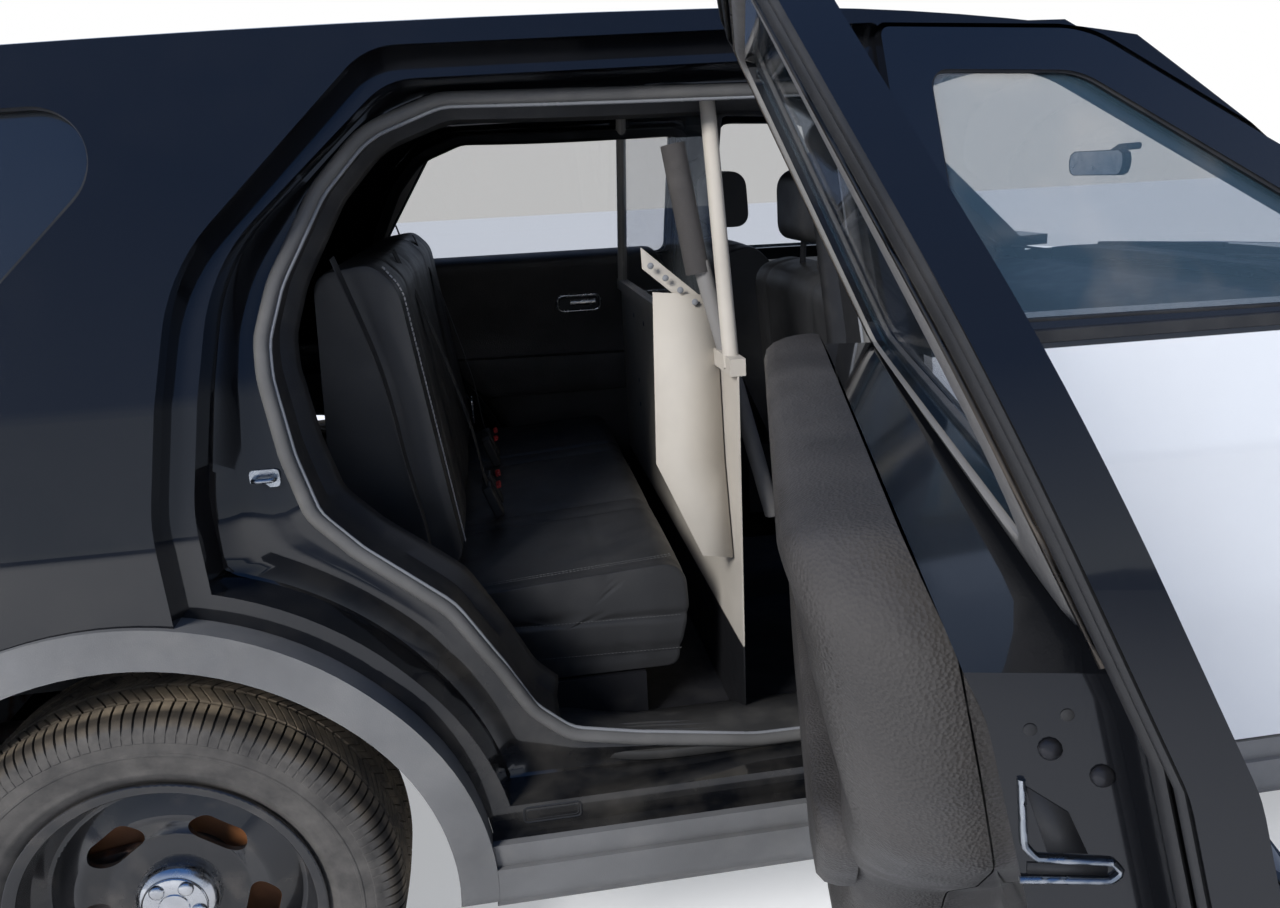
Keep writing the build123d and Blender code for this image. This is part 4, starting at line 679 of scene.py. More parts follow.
# How far round the slots lean, in pitches, at these distances from the centre plane
SLOT_SKEW = ((0.0, 0.024, 0.032, 0.068, 0.076), (0.35, 1.5, 1.5, 0.0, 0.0))


def tyre_shape():
    """Tyre about its own centre, with its ribs, grooves, slots and the rings of the sidewall."""
    half = [(-s, r, -ds, dr) for s, r, ds, dr in TYRE_HALF]
    section = half + [(-s, r, -ds, dr) for s, r, ds, dr in reversed(half[:-1])]
    columns = []
    for pitch in range(TREAD_PITCHES):
        shallow = pitch % 2
        for share, cut in ((0.0, 1), (0.17, 1), (0.20, 0), (0.97, 0)):
            columns.append(((pitch + share) / TREAD_PITCHES, cut, shallow))
    rows = []
    for s, r, ds, dr in section:
        skew = np.interp(abs(s), *SLOT_SKEW) / TREAD_PITCHES
        row = []
        for share, cut, shallow in columns:
            depth = cut * (0.35 if shallow and abs(s) < 0.07 else 1.0)
            turn = 2 * math.pi * (share + skew)
            row.append(((r + depth * dr) * math.cos(turn), s + depth * ds, (r + depth * dr) * math.sin(turn)))
        rows.append(row)
    return grid(rows, wrap_u=True, wrap_v=True)


WHEELS = [
    (f"{end}_{side}", (x, sign * HALF_TRACK, TYRE_R), sign)
    for end, x in (("front", AXLE_X), ("rear", -AXLE_X)) for side, sign in (("right", -1), ("left", 1))
]


def tyres():
    """Four tyres that share one mesh."""
    mesh = None
    for name, hub, sign in WHEELS:
        if mesh is None:
            piece = show(f"tread_{name}", tyre_shape(), None, tyre_skin("tyre_tread"), smooth=32.0)
            mesh = piece.data
        else:
            piece = placed(f"tread_{name}", mesh)
        piece.location = hub
        bpy.context.view_layer.update()
        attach(piece, f"wheel_{name}")
        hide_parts(f"tyre_{name}")


# Wheel cap and the bump over a nut: radius and distance outward
CAP = [
    (0.0640, 0.0500), (0.0650, 0.0600), (0.0632, 0.0680), (0.0580, 0.0745), (0.0530, 0.0775),
    (0.0500, 0.0788), (0.0485, 0.0812), (0.0420, 0.0832), (0.0300, 0.0842), (0.0240, 0.0838),
    (0.0225, 0.0856), (0.0120, 0.0868), (0.0002, 0.0872),
]
NUT = [(0.0125, 0.0), (0.0120, 0.0030), (0.0095, 0.0052), (0.0060, 0.0060), (0.0002, 0.0062)]
NUT_CIRCLE_R = 0.0375
NUT_OUT = 0.0825


def wheel_caps():
    """Bright centre cap with a bump over each wheel nut, and a valve on every wheel."""
    for name, (x, y, z), sign in WHEELS:
        shapes = [spun([(r, sign * s) for r, s in CAP], "y", 72, (x, y, z))]
        for k in range(5):
            turn = math.radians(54 + 72 * k)
            at = (x + NUT_CIRCLE_R * math.cos(turn), y + sign * NUT_OUT, z + NUT_CIRCLE_R * math.sin(turn))
            shapes.append(spun([(r, sign * s) for r, s in NUT], "y", 20, at))
        show(f"cap_{name}", merged(*shapes), f"wheel_{name}", CHROME)
        stem = evenly([(x, y + sign * 0.085, z - 0.205), (x, y + sign * 0.115, z - 0.192)], 0.004)
        show(f"valve_{name}", sweep(stem, circle(0.0042, 12), out=(1, 0, 0)), f"wheel_{name}", DARK_SEAL)


# Line of the rear doorway's weatherstrip: x and z
DOORWAY = [
    (-0.238, 0.486, 0.05), (-0.238, 1.580, 0.04), (-0.902, 1.586, 0.08), (-1.023, 1.540, 0.12),
    (-1.100, 1.455, 0.12), (-1.172, 1.321, 0.12), (-1.196, 1.240, 0.08), (-1.194, 1.190, 0.08),
    (-1.173, 1.070, 0.12), (-1.144, 0.977, 0.06), (-1.085, 0.912, 0.06), (-0.953, 0.801, 0.12),
    (-0.883, 0.690, 0.12), (-0.835, 0.600, 0.08), (-0.775, 0.545, 0.06), (-0.660, 0.520, 0.08),
    (-0.449, 0.486, 0.2),
]
DOORWAY_MIDDLE = (-0.68, 1.05)


def spread(ring, count=240):
    """A ring's points at even angles about the doorway's middle."""
    dense = evenly(ring, 0.003, True) - DOORWAY_MIDDLE
    turn = np.unwrap(np.arctan2(dense[:, 1], dense[:, 0]))
    if turn[-1] < turn[0]:
        dense, turn = dense[::-1], turn[::-1]
    want = turn[0] + np.linspace(0, 2 * math.pi, count, endpoint=False)
    turn = np.maximum.accumulate(np.r_[turn, turn[0] + 2 * math.pi])
    dense = np.vstack([dense, dense[:1]])
    reach = np.interp(want, turn, np.hypot(dense[:, 0], dense[:, 1]))
    made = np.stack([reach * np.cos(want), reach * np.sin(want)], 1) + DOORWAY_MIDDLE
    first = int(np.argmin(np.abs((want + 3 * math.pi) % (2 * math.pi))))
    return np.roll(made, -first, axis=0)


def shrunk(ring, by):
    """A spread ring drawn in towards the doorway's middle by a distance."""
    way = ring - DOORWAY_MIDDLE
    length = np.linalg.norm(way, axis=1)[:, None]
    return DOORWAY_MIDDLE + way * (1 - by / length)


FLANGE_DEPTH = 0.122
# Flange from the doorway's edge to the weatherstrip: share of the way, and how far past FLANGE_DEPTH
FLANGE = [
    (0.0, -0.004), (0.03, 0.001), (0.30, 0.004), (0.42, 0.001), (0.62, 0.001), (0.74, 0.005),
    (0.90, 0.003), (1.0, 0.001),
]
# Trim inside the weatherstrip: distance inward, and how far past FLANGE_DEPTH; it ends above the step plate
JAMB = [(0.004, 0.004), (0.008, 0.006), (0.009, 0.030), (0.009, 0.084), (0.028, 0.098), (0.034, 0.115)]
JAMB_LOW_Z = 0.560


def doorway(side):
    """Rear doorway's inner flange, trim and weatherstrip."""
    edge = spread(rear_door_outline(-0.0400))
    line = spread(rounded(DOORWAY))
    rows = [on_side(edge, 0.1265)]
    rows += [on_side(edge + (line - edge) * share, FLANGE_DEPTH + extra) for share, extra in FLANGE]
    flange = grid(rows, wrap_v=True)
    show_side("flange", flange, side, "body", MATERIALS["black_paint"], smooth=50.0, solid=0.0016)
    above = np.where(line[:, 1] > JAMB_LOW_Z)[0]
    jumps = np.diff(above) > 1
    kept = np.roll(above, -int(np.argmax(jumps)) - 1 if jumps.any() else 0)
    trim = grid([on_side(shrunk(line, by)[kept], FLANGE_DEPTH + extra) for by, extra in JAMB])
    show_side("doorway_trim", trim, side, "body", JAMB_TRIM, smooth=50.0, solid=0.0030)
    strip = sweep(on_side(line, FLANGE_DEPTH - 0.007), circle(0.0115, 12, 0.0095 / 0.0115), True, (0, -1, 0))
    show_side("weatherstrip", strip, side, "body", SEAL, smooth=50.0)
    lip = sweep(on_side(shrunk(line, 0.0135), FLANGE_DEPTH - 0.004), circle(0.0030, 8), True, (0, -1, 0))
    show_side("strip_lip", lip, side, "body", HANDLE_GREY, smooth=50.0)


def front_doorway(side):
    """Front doorway's weatherstrip."""
    line = evenly(front_door_outline(-0.0480), 0.02, True)
    strip = sweep(on_side(line, 0.118), circle(0.0100), True, (0, -1, 0))
    show_side("front_weatherstrip", strip, side, "body", SEAL)


# Step plate in section (y, z), with a bend at its rear end
STEP = [
    (-0.872, 0.4745), (-0.868, 0.4870), (-0.850, 0.4925), (-0.800, 0.4915), (-0.745, 0.4790),
    (-0.690, 0.4560), (-0.640, 0.4330), (-0.632, 0.4240),
]
PLUG_MIDDLE = (-0.819, 0.4495)
STRIKER_X, STRIKER_Z = -1.208, 1.037
STRIKER_LOOP = [
    (0.015, 0.0, 0.0), (0.015, -0.012, 0.0), (0.011, -0.016, 0.0), (-0.011, -0.016, 0.0),
    (-0.015, -0.012, 0.0), (-0.015, 0.0, 0.0),
]


def sill_details(side):
    """Ribbed step plate, plug in the sill, and striker."""
    xs = np.linspace(-0.80, -0.25, 60)
    bend = 0.030 * np.exp(-((xs + 0.80) / 0.10) ** 2)
    rows = [np.stack([xs, np.full_like(xs, y) + bend, z + 0.55 * bend], 1) for y, z in STEP]
    show_side("step_plate", grid(rows), side, "body", SILL_TRIM, smooth=45.0, solid=0.004)
    ribs = []
    for k in range(5):
        y = -0.850 + 0.017 * k
        z = np.interp(y, (-0.850, -0.800, -0.745), (0.4935, 0.4925, 0.4800))
        along = np.linspace(-0.70 + 0.004 * k, -0.27, 50)
        sway = 0.010 * np.tanh((along + 0.58) / 0.06)
        path = np.stack([along, y - sway, z - 0.2 * sway], 1)
        ribs.append(sweep(path, circle(0.0030, 8), out=(0, 0, 1)))
    show_side("step_ribs", merged(*ribs), side, "body", SILL_TRIM, smooth=45.0)
    frames = []
    ring = oblong(-0.866, 0.4350, -0.772, 0.4640, 0.006)
    for shares, size in (((1.0, 1.0), 0.0030), ((0.904, 0.64), 0.0022)):
        drawn = evenly((ring - PLUG_MIDDLE) * shares + PLUG_MIDDLE, 0.004, True)
        frames.append(sweep(on_side(drawn, 0.0398), circle(size, 8), True, (0, -1, 0)))
    show_side("sill_plug", merged(*frames), side, "body", JAMB_TRIM, smooth=45.0)
    at = np.array((STRIKER_X, side_y(STRIKER_Z, FLANGE_DEPTH + 0.002), STRIKER_Z))
    base = plate(oblong(-0.022, -0.014, 0.022, 0.014, 0.006), -0.003, 0.003)
    wire = sweep(evenly(np.array(STRIKER_LOOP) + at, 0.003), circle(0.0040), out=(0, 0, 1))
    show_side("striker", merged((base[0] + at, base[1]), wire), side, "body", ZINC, smooth=45.0)


def door_mouldings(side):
    """Glass seals of the side windows, and the front and rear doors' belt mouldings."""
    windows = (
        ("front", front_window_outline, f"door_front_{side}"),
        ("rear", rear_window_outline, f"door_rear_{side}"), ("quarter", quarter_window_outline, "body"),
    )
    for place, window, body in windows:
        line = evenly(window(0.0015), 0.012, True)
        section = [(-0.0065, -0.0050), (0.0065, -0.0050), (0.0055, 0.0045), (-0.0055, 0.0045)]
        seal = sweep(on_side(line, 0.0105), section, True, (0, -1, 0))
        show_side(f"{place}_glass_seal", seal, side, body, DARK_SEAL)
    runs = (("front", B_PILLAR_X + 0.012, 0.872, 1.181), ("rear", -1.225, B_PILLAR_X - 0.012, 1.193))
    for place, x0, x1, z in runs:
        xs = np.linspace(x0, x1, 60)
        section = [(-0.011, -0.006), (0.011, -0.006), (0.010, 0.0055), (-0.010, 0.0055)]
        bar = sweep(on_side(np.stack([xs, np.full_like(xs, z)], 1), -0.0005), section, out=(0, -1, 0))
        show_side(f"{place}_belt", bar, side, f"door_{place}_{side}", DARK_SEAL, bevel=0.0015)


# Outer door handle: its height, its length, and the cup behind it as radius and place across
HANDLE_Z = 1.060
HANDLE_RUN = 0.145
CUP = [
    (0.0495, -1.0030), (0.0500, -1.0000), (0.0490, -0.9860), (0.0420, -0.9640), (0.0250, -0.9555),
    (0.0005, -0.9540),
]


def handles(side):
    """Pale pull handles of the doors, and the dark cups behind."""
    for place, x in (("front", B_PILLAR_X + 0.130), ("rear", C_SHUT_X + 0.165)):
        rows = []
        for share in np.linspace(0, 1, 26):
            u = x - 0.1015 + HANDLE_RUN * share
            swell = math.sin(math.pi * share) ** 0.35 if 0 < share < 1 else 0.12
            tall = 0.0133 * max(0.25, swell)
            deep = 0.0075 * max(0.2, swell)
            y0 = -1.0095 + 0.0045 * abs(2 * share - 1) ** 3
            ring = []
            for c, s in np.sign(circle(1.0, 20)) * np.abs(circle(1.0, 20)) ** 0.6:
                ring.append((u, y0 - deep * c, HANDLE_Z + tall * s))
            rows.append(ring)
        grip = grid(rows, wrap_v=True, caps=True)
        rows = [[(x + 0.028 + c, y, HANDLE_Z + s) for c, s in circle(r, 48)] for r, y in CUP]
        bowl = grid(rows, wrap_v=True)
        body = f"door_{place}_{side}"
        show_side(f"{place}_grip", grip, side, body, HANDLE_GREY, smooth=60.0)
        show_side(f"{place}_cup", bowl, side, body, MATERIALS["black_bumper"], smooth=60.0, solid=0.001)


# Outline of the rear door's moulded inner panel: x, z and corner radius
PANEL = [
    (-0.272, 0.515, 0.05), (-0.272, 1.150, 0.05), (-0.330, 1.232, 0.05), (-1.130, 1.232, 0.05),
    (-1.176, 1.190, 0.05), (-1.152, 1.070, 0.12), (-1.123, 0.987, 0.06), (-1.065, 0.925, 0.06),
    (-0.935, 0.812, 0.12), (-0.865, 0.700, 0.12), (-0.817, 0.612, 0.08), (-0.757, 0.562, 0.06),
    (-0.650, 0.538, 0.08),
]
PANEL_MIDDLE = (-0.62, 0.93)
# Share of the outline, and depth inside the side's surface
PANEL_ROWS = [
    (1.0, 0.1047), (1.004, 0.116), (1.0, 0.134), (0.990, 0.152), (0.972, 0.170), (0.945, 0.184),
    (0.905, 0.193), (0.84, 0.197), (0.70, 0.194), (0.40, 0.188), (0.10, 0.186), (0.002, 0.186),
]
ARMREST = [
    (-0.315, 0.782, 0.05), (-0.315, 0.902, 0.05), (-1.000, 0.915, 0.04), (-0.960, 0.850, 0.04),
    (-0.900, 0.782, 0.04),
]
ARMREST_MIDDLE = (-0.64, 0.845)
ARMREST_ROWS = [
    (1.0, 0.184), (1.0, 0.200), (0.985, 0.212), (0.95, 0.219), (0.80, 0.222), (0.4, 0.223), (0.003, 0.223),
]
FRAME = [
    (-0.243, 1.206, 0.02), (-0.243, 1.614, 0.03), (-0.984, 1.602, 0.07), (-1.222, 1.345, 0.20),
    (-1.264, 1.206, 0.10),
]
FRAME_MIDDLE = (-0.68, 1.40)
BEAD = [
    (-1.258, 1.212, 0.1), (-1.217, 1.345, 0.20), (-0.982, 1.598, 0.07), (-0.248, 1.610, 0.02),
    (-0.248, 1.212, 0.02),
]


def rear_door_inside(side):
    """Rear door's inner side: thick moulded panel, armrest, handle, frame trims, seals and latch."""
    rows = []
    outer = evenly(rounded(PANEL), 0.012, True)
    for share, depth in PANEL_ROWS:
        ring = PANEL_MIDDLE + (outer - PANEL_MIDDLE) * share
        points = on_side(ring, depth)
        low = np.clip((0.80 - ring[:, 1]) / 0.06, 0, 1) * np.clip((depth - 0.150) / 0.02, 0, 1)
        points[:, 1] -= 0.012 * low
        rows.append(points)
    parts = [("inner_panel", grid(rows, wrap_v=True), DOOR_VINYL)]
    rest = evenly(rounded(ARMREST), 0.014, True)
    rows = [on_side(ARMREST_MIDDLE + (rest - ARMREST_MIDDLE) * share, depth) for share, depth in ARMREST_ROWS]
    parts.append(("armrest", grid(rows, wrap_v=True), DOOR_VINYL))
    pull = evenly(oblong(-0.505, 1.045, -0.640, 1.095, 0.016), 0.004, True)
    parts.append(("inner_handle_bezel", sweep(on_side(pull, 0.1915), circle(0.0052), True), CHROME))
    lever = sweep(on_side(evenly([(-0.520, 1.072), (-0.600, 1.072)], 0.01), 0.1945), circle(0.0095, 12, 0.45))
    parts.append(("inner_lever", lever, CHROME))
    cup, cup_faces = plate(oblong(-0.512, 1.050, -0.633, 1.090, 0.012), 0.0, 0.003)
    parts.append(("handle_cup", (cup + (0, side_y(1.07, 0.1895), 0), cup_faces), DARK_SEAL))
    seal_line = evenly(rear_door_outline(-0.0300), 0.012, True)
    parts.append(("door_seal", sweep(on_side(seal_line, 0.0335), circle(0.0085, 10, 0.36), True), DARK_SEAL))
    edge_line = evenly(rear_door_outline(-0.0075), 0.012, True)
    parts.append(("edge_seal", sweep(on_side(edge_line, 0.0315), circle(0.0045, 8, 0.6), True), DARK_SEAL))
    a, b = spread_about(rounded(FRAME), FRAME_MIDDLE), spread_about(rear_window_outline(0.002), FRAME_MIDDLE)
    shares = ((0.0, 0.0300), (0.0, 0.0340), (0.12, 0.0365), (0.85, 0.0365), (1.0, 0.0340), (1.0, 0.0300))
    rows = [on_side(b + (a - b) * share, depth) for share, depth in shares]
    parts.append(("window_frame_trim", grid(rows, wrap_v=True), FRAME_GREY))
    bead = on_side(evenly(rounded(BEAD, False), 0.012), 0.0360)
    parts.append(("frame_bead", sweep(bead, circle(0.0022, 8)), BRONZE))
    for name, shape, material in parts + latch_parts():
        show_side(name, shape, side, f"door_rear_{side}", material, smooth=45.0,
                  solid=0.0006 if name == "latch_mouth" else 0.0,
                  replaces=(f"rear_door_{side}_trim",) if name == "inner_panel" else ())


def spread_about(ring, middle, count=160):
    """A ring's points at even angles about a middle."""
    dense = evenly(np.asarray(ring, float), 0.003, True) - middle
    turn = np.arctan2(dense[:, 1], dense[:, 0])
    order = np.argsort(turn)
    turn, reach = turn[order], np.hypot(dense[:, 0], dense[:, 1])[order]
    want = np.linspace(-math.pi, math.pi, count, endpoint=False)
    far = np.interp(want, turn, reach, period=2 * math.pi)
    return np.stack([far * np.cos(want), far * np.sin(want)], 1) + middle


LATCH_Z = 1.105
BOX_EDGE = -0.062


def shut_face_x(z):
    """Place along the vehicle of the rear door's inner box edge, at a height."""
    ring = rear_door_outline(BOX_EDGE)
    back = ring[(ring[:, 0] < -1.0) & (ring[:, 1] > 0.95) & (ring[:, 1] < 1.35)]
    back = back[np.argsort(back[:, 1])]
    return float(np.interp(z, back[:, 1], back[:, 0]))


def latch_parts():
    """Latch slot, screws and holes on the rear edge of a right rear door."""
    y0 = side_y(LATCH_Z, 0.078)

    def face(y, z, out=0.0014):
        return shut_face_x(LATCH_Z + z) - out, y0 + y, LATCH_Z + z

    def patch(*corners):
        (a, b), (c, d) = [[face(y, z, 0.0006) for y, z in pair] for pair in corners]
        return grid([[a, b], [c, d]])

    slot = [face(-0.022, -0.004), face(0.016, -0.003), face(0.022, 0.004), face(0.024, 0.040)]
    lower = [face(-0.022, -0.004), face(-0.027, -0.009), face(-0.022, -0.014), face(0.024, -0.015)]
    tube = merged(*[sweep(evenly(path, 0.003), circle(0.0020, 8), out=(-1, 0, 0)) for path in (slot, lower)])
    mouth = patch(((-0.020, -0.006), (0.020, -0.006)), ((-0.020, -0.012), (0.020, -0.012)))
    strike = patch(((0.010, 0.000), (0.022, 0.036)), ((-0.010, 0.000), (0.000, 0.022)))
    heads = [face(-0.016, 0.042, 0), face(0.010, 0.056, 0), face(-0.004, -0.050, 0)]
    pits = [face(0.018, -0.060, 0), face(0.002, 0.074, 0), face(0.020, 0.066, 0)]
    return [
        ("latch", tube, ZINC), ("latch_mouth", merged(mouth, strike), DARK_SEAL),
        ("latch_screws", domes(heads, 0.0062, 0.0036, "x", -1), SCREW),
        ("edge_holes", domes(pits, 0.0036, 0.0010, "x", -1), DARK_SEAL),
    ]


# Rings over a cushion's flat ends, and how much and how far from the ends its section draws in
CAP_SHARES = (0.02, 0.15, 0.30, 0.45, 0.60, 0.75, 0.87, 0.95)
END_PULL = 0.012
END_RUN = 0.03


def bench_block(section, y0, y1, grooves, crown, step=0.012, inset=0.006):
    """Cushion from a section in x and z run from one y to another, crowned between its seams."""
    ring = evenly(rounded(section, step=0.008), step, True)
    middle = ring.mean(axis=0)

    def row(y, share):
        return [(u, y, v) for u, v in middle + (ring - middle) * share]

    rows = [row(y0, share) for share in CAP_SHARES]
    for y in np.linspace(y0, y1, int((y1 - y0) / step)):
        rows.append(row(y, 1 - END_PULL * max(0.0, 1 - min(y - y0, y1 - y) / END_RUN) ** 2))
    rows += [row(y1, share) for share in reversed(CAP_SHARES)]
    points = np.array(rows)
    normal = np.cross(np.gradient(points, axis=0), np.roll(points, -1, axis=1) - np.roll(points, 1, axis=1))
    normal /= np.linalg.norm(normal, axis=2)[..., None] + 1e-12
    normal *= np.sign(np.sum(normal * (points - points.mean(axis=(0, 1))), axis=2))[..., None]
    move = crown(points, normal) - inset
    for test, width, depth in grooves:
        move -= depth * np.exp(-(test(points) / width) ** 2)
    return grid(points + normal * move[..., None], wrap_v=True, caps=True)


def stitches(path, out, length=0.0060, gap=0.0030, size=0.0011):
    """Row of short threads along a path."""
    walk = evenly(path, length + gap)
    shapes = []
    for a, b in zip(walk[:-1], walk[1:]):
        end = a + (b - a) * length / (length + gap)
        shapes.append(sweep([a, (a + end) / 2 + np.asarray(out) * 0.0008, end], circle(size, 6), out=out))
    return merged(*shapes)


# Rear bench in section: x, z and corner radius
CUSHION = [
    (-0.990, 0.5193, 0.010), (-0.540, 0.5193, 0.020), (-0.512, 0.640, 0.060), (-0.518, 0.745, 0.050),
    (-0.990, 0.715, 0.020),
]
BACK = [
    (-1.070, 0.6403, 0.005), (-1.011, 0.6403, 0.005), (-1.011, 0.730, 0.010), (-0.930, 0.760, 0.045),
    (-1.000, 1.290, 0.060), (-1.045, 1.335, 0.040), (-1.150, 1.320, 0.040), (-1.170, 0.900, 0.060),
]
# Distance that stands for no seam here
NOWHERE = 9.0


def seam(at, where):
    """Distance from the seams on both sides of the centre plane, on the part of a cushion where they run."""
    return lambda p: np.where(where(p), np.abs(np.abs(p[..., 1]) - at), NOWHERE)


def cushion(name, shape, stands_for):
    """Padded seat piece."""
    vinyl = MATERIALS["seat_vinyl"]
    piece = show(name, shape, "body", vinyl, "seat_vinyl", 60.0, subdivide=1, replaces=(stands_for,))


def rear_bench():
    """Rear bench: cushion and back with their seams and stitching."""
    def cushion_crown(p, n):
        across = np.abs(np.sin(math.pi * (p[..., 1] + 0.64) / 0.43))
        return 0.0045 * np.clip(n[..., 2], 0, 1) * across ** 0.6 + 0.004 * np.clip(np.abs(n[..., 1]), 0, 1)

    def end_seam(z):
        def away(p):
            sag = 0.03 * (p[..., 0] + 0.52)
            return np.where(np.abs(p[..., 1]) > 0.60, np.abs(p[..., 2] - z + sag), NOWHERE)
        return away

    def front_seam(p):
        on = (p[..., 2] > 0.68) & (np.abs(p[..., 1]) > 0.285)
        return np.where(on, np.abs(p[..., 0] + 0.672), NOWHERE)

    def on_top(p):
        return p[..., 2] > 0.66

    def on_rim(p):
        return (p[..., 2] > 0.68) & (np.abs(p[..., 1]) > 0.59)

    grooves = [
        (end_seam(0.630), 0.0055, 0.0060), (end_seam(0.560), 0.0055, 0.0060),
        (seam(0.285, on_top), 0.0050, 0.0060), (seam(0.215, on_top), 0.0050, 0.0060),
        (front_seam, 0.0045, 0.0045), (seam(0.612, on_rim), 0.0040, 0.0030),
    ]
    cushion("bench_cushion", bench_block(CUSHION, -0.636, 0.636, grooves, cushion_crown), "rear_seat_cushion")

    def back_crown(p, n):
        across = np.abs(np.sin(math.pi * (p[..., 1] + 0.590) / 0.395))
        return 0.004 * np.clip(n[..., 0], 0, 1) * across ** 0.6 + 0.003 * np.clip(np.abs(n[..., 1]), 0, 1)

    def over_cushion(p):
        return p[..., 2] > 0.78

    def in_front(p):
        return p[..., 0] > -1.10

    grooves = [
        (seam(0.565, over_cushion), 0.0045, 0.0040), (seam(0.430, in_front), 0.0060, 0.0060),
        (seam(0.215, in_front), 0.0060, 0.0070), (seam(0.165, in_front), 0.0050, 0.0060),
    ]
    cushion("bench_back", bench_block(BACK, -0.586, 0.586, grooves, back_crown), "rear_seat_back")
    front = evenly([(-0.9345, 0.80), (-0.9990, 1.280), (-1.030, 1.322)], 0.02)
    threads = [stitches([(x + 0.0005, y, z) for x, z in front], (1, 0, 0)) for y in (-0.5610, -0.5695)]
    show("back_stitching", merged(*threads), "body", THREAD)
    fine = (0.004, 0.003, 0.0007)
    ends = [[(-0.93, -0.6385, z + 0.0125), (-0.535, -0.6385, z + 0.0006)] for z in (0.632, 0.562)]
    seams = [stitches(path, (0, -1, 0), *fine) for path in ends]
    for y in (-0.6160, -0.6070):
        ridge = [(x, y, 0.7185 + 0.0636 * (x + 0.990)) for x in np.linspace(-0.985, -0.545, 30)]
        seams.append(stitches(ridge, (0, 0, 1), *fine))
    show("cushion_stitching", merged(*seams), "body", DARK_THREAD)


# Front seats in section
FRONT_CUSHION = [
    (-0.110, 0.491, 0.020), (0.400, 0.491, 0.030), (0.440, 0.600, 0.060), (0.470, 0.715, 0.050),
    (0.400, 0.735, 0.060), (-0.110, 0.690, 0.030),
]
FRONT_BACK = [
    (-0.112, 0.696, 0.030), (0.030, 0.712, 0.050), (-0.110, 1.220, 0.060), (-0.160, 1.270, 0.050),
    (-0.262, 1.250, 0.050), (-0.240, 1.000, 0.060),
]
FRONT_HEAD = [(-0.235, 1.300, 0.035), (-0.140, 1.300, 0.035), (-0.150, 1.450, 0.040), (-0.238, 1.450, 0.040)]


SEAT_Y = 0.405


def front_seat_pads():
    """Front seats: cushions, backs and head restraints, with their plain bases and posts."""
    shapes = []
    for middle in (-SEAT_Y, SEAT_Y):
        def crown(p, n):
            face = np.clip(np.maximum(n[..., 2], n[..., 0]), 0, 1)
            return 0.0045 * face * np.cos(np.clip((p[..., 1] - middle) / 0.25, -1, 1) * math.pi / 2)

        def seams(p):
            return np.abs(np.abs(p[..., 1] - middle) - 0.150)

        for section in (FRONT_CUSHION, FRONT_BACK):
            grooves = [(seams, 0.006, 0.006)]
            shapes.append(bench_block(section, middle - 0.241, middle + 0.241, grooves, crown, 0.014))
        shapes.append(bench_block(FRONT_HEAD, middle - 0.122, middle + 0.122, [], crown, 0.012, 0.004))
    cushion("front_seat_pads", merged(*shapes), "front_seats")
    plain = []
    for sign in (-1, 1):
        plain.append(block((0.150, sign * SEAT_Y, 0.455), (0.42, 0.43, 0.069)))
        plain.append(block((-0.090, sign * SEAT_Y, 0.620), (0.18, 0.42, 0.20)))
        for y in (0.350, 0.460):
            post = evenly([(-0.200, sign * y, 1.230), (-0.195, sign * y, 1.320)], 0.01)
            plain.append(sweep(post, circle(0.0065), out=(1, 0, 0)))
    show("front_seat_bases", merged(*plain), "body", MATERIALS["floor_paint"], smooth=30.0, bevel=0.004)


SHEET_X = -0.4445


def partition_dressing():
    """Partition's slanted wing, bracket, rivets, padded brace tube and bolts, on the right side."""
    wing = grid([
        [(-0.4435, -0.600, 1.236), (-0.560, -0.612, 1.250)],
        [(-0.4435, -0.640, 0.936), (-0.572, -0.640, 0.940)],
        [(-0.4435, -0.690, 0.760), (-0.500, -0.690, 0.770)],
    ])
    bracket = []
    for share in np.linspace(0, 1, 12):
        x, z = SHEET_X - 0.130 * share, 1.176 + 0.115 * share
        bracket.append([(x, -(0.606 - 0.010 * share), z), (x, -(0.600 - 0.010 * share), z + 0.037)])
    rivets = [(SHEET_X - 0.130 * share, -0.612, 1.193 + 0.115 * share) for share in (0.1, 0.3, 0.5, 0.7, 0.9)]
    places = ((0.434, 0.877), (0.426, 0.807), (0.480, 1.060), (0.300, 1.060), (0.120, 1.060))
    flat = domes([(-0.4402, s * y, z) for s in (-1, 1) for y, z in places], 0.0070, 0.0030, "x", -1)
    tube = sweep(evenly([(-0.4750, -0.628, 1.300), (-0.352, -0.640, 0.820)], 0.02), circle(0.0155, 16))
    foam = sweep(evenly([(-0.5140, -0.612, 1.500), (-0.4800, -0.628, 1.280)], 0.01), circle(0.0215, 20))
    bolts = [(-0.4465, -0.590, 1.490), (-0.4465, -0.596, 1.245), (-0.4465, -0.598, 1.205)]
    coat = MATERIALS["partition_paint"]
    show("partition_wings", wing, "body", coat, smooth=20.0, solid=0.0025)
    show("partition_brackets", grid(bracket), "body", coat, smooth=20.0, solid=0.003, bevel=0.0006)
    show("partition_rivets", merged(flat, domes(rivets, 0.0060, 0.0030, "y", -1)), "body", HANDLE_GREY)
    show("brace_tubes", tube, "body", FRAME_GREY)
    show("brace_sleeves", foam, "body", FOAM)
    show("pane_bolts", domes(bolts, 0.0085, 0.0050, "x", -1), "body", ZINC)


# Seat belts' routes at the doors and near the middle, for the left side
OUTER_BELT = [
    (-1.100, 0.640, 1.345), (-1.045, 0.628, 1.150), (-1.020, 0.622, 0.980), (-0.995, 0.630, 0.830),
    (-1.000, 0.655, 0.720),
]
INNER_BELT = [
    (-1.030, 0.300, 1.330), (-0.975, 0.285, 1.180), (-0.915, 0.262, 0.960), (-0.895, 0.245, 0.830),
    (-0.870, 0.225, 0.752),
]


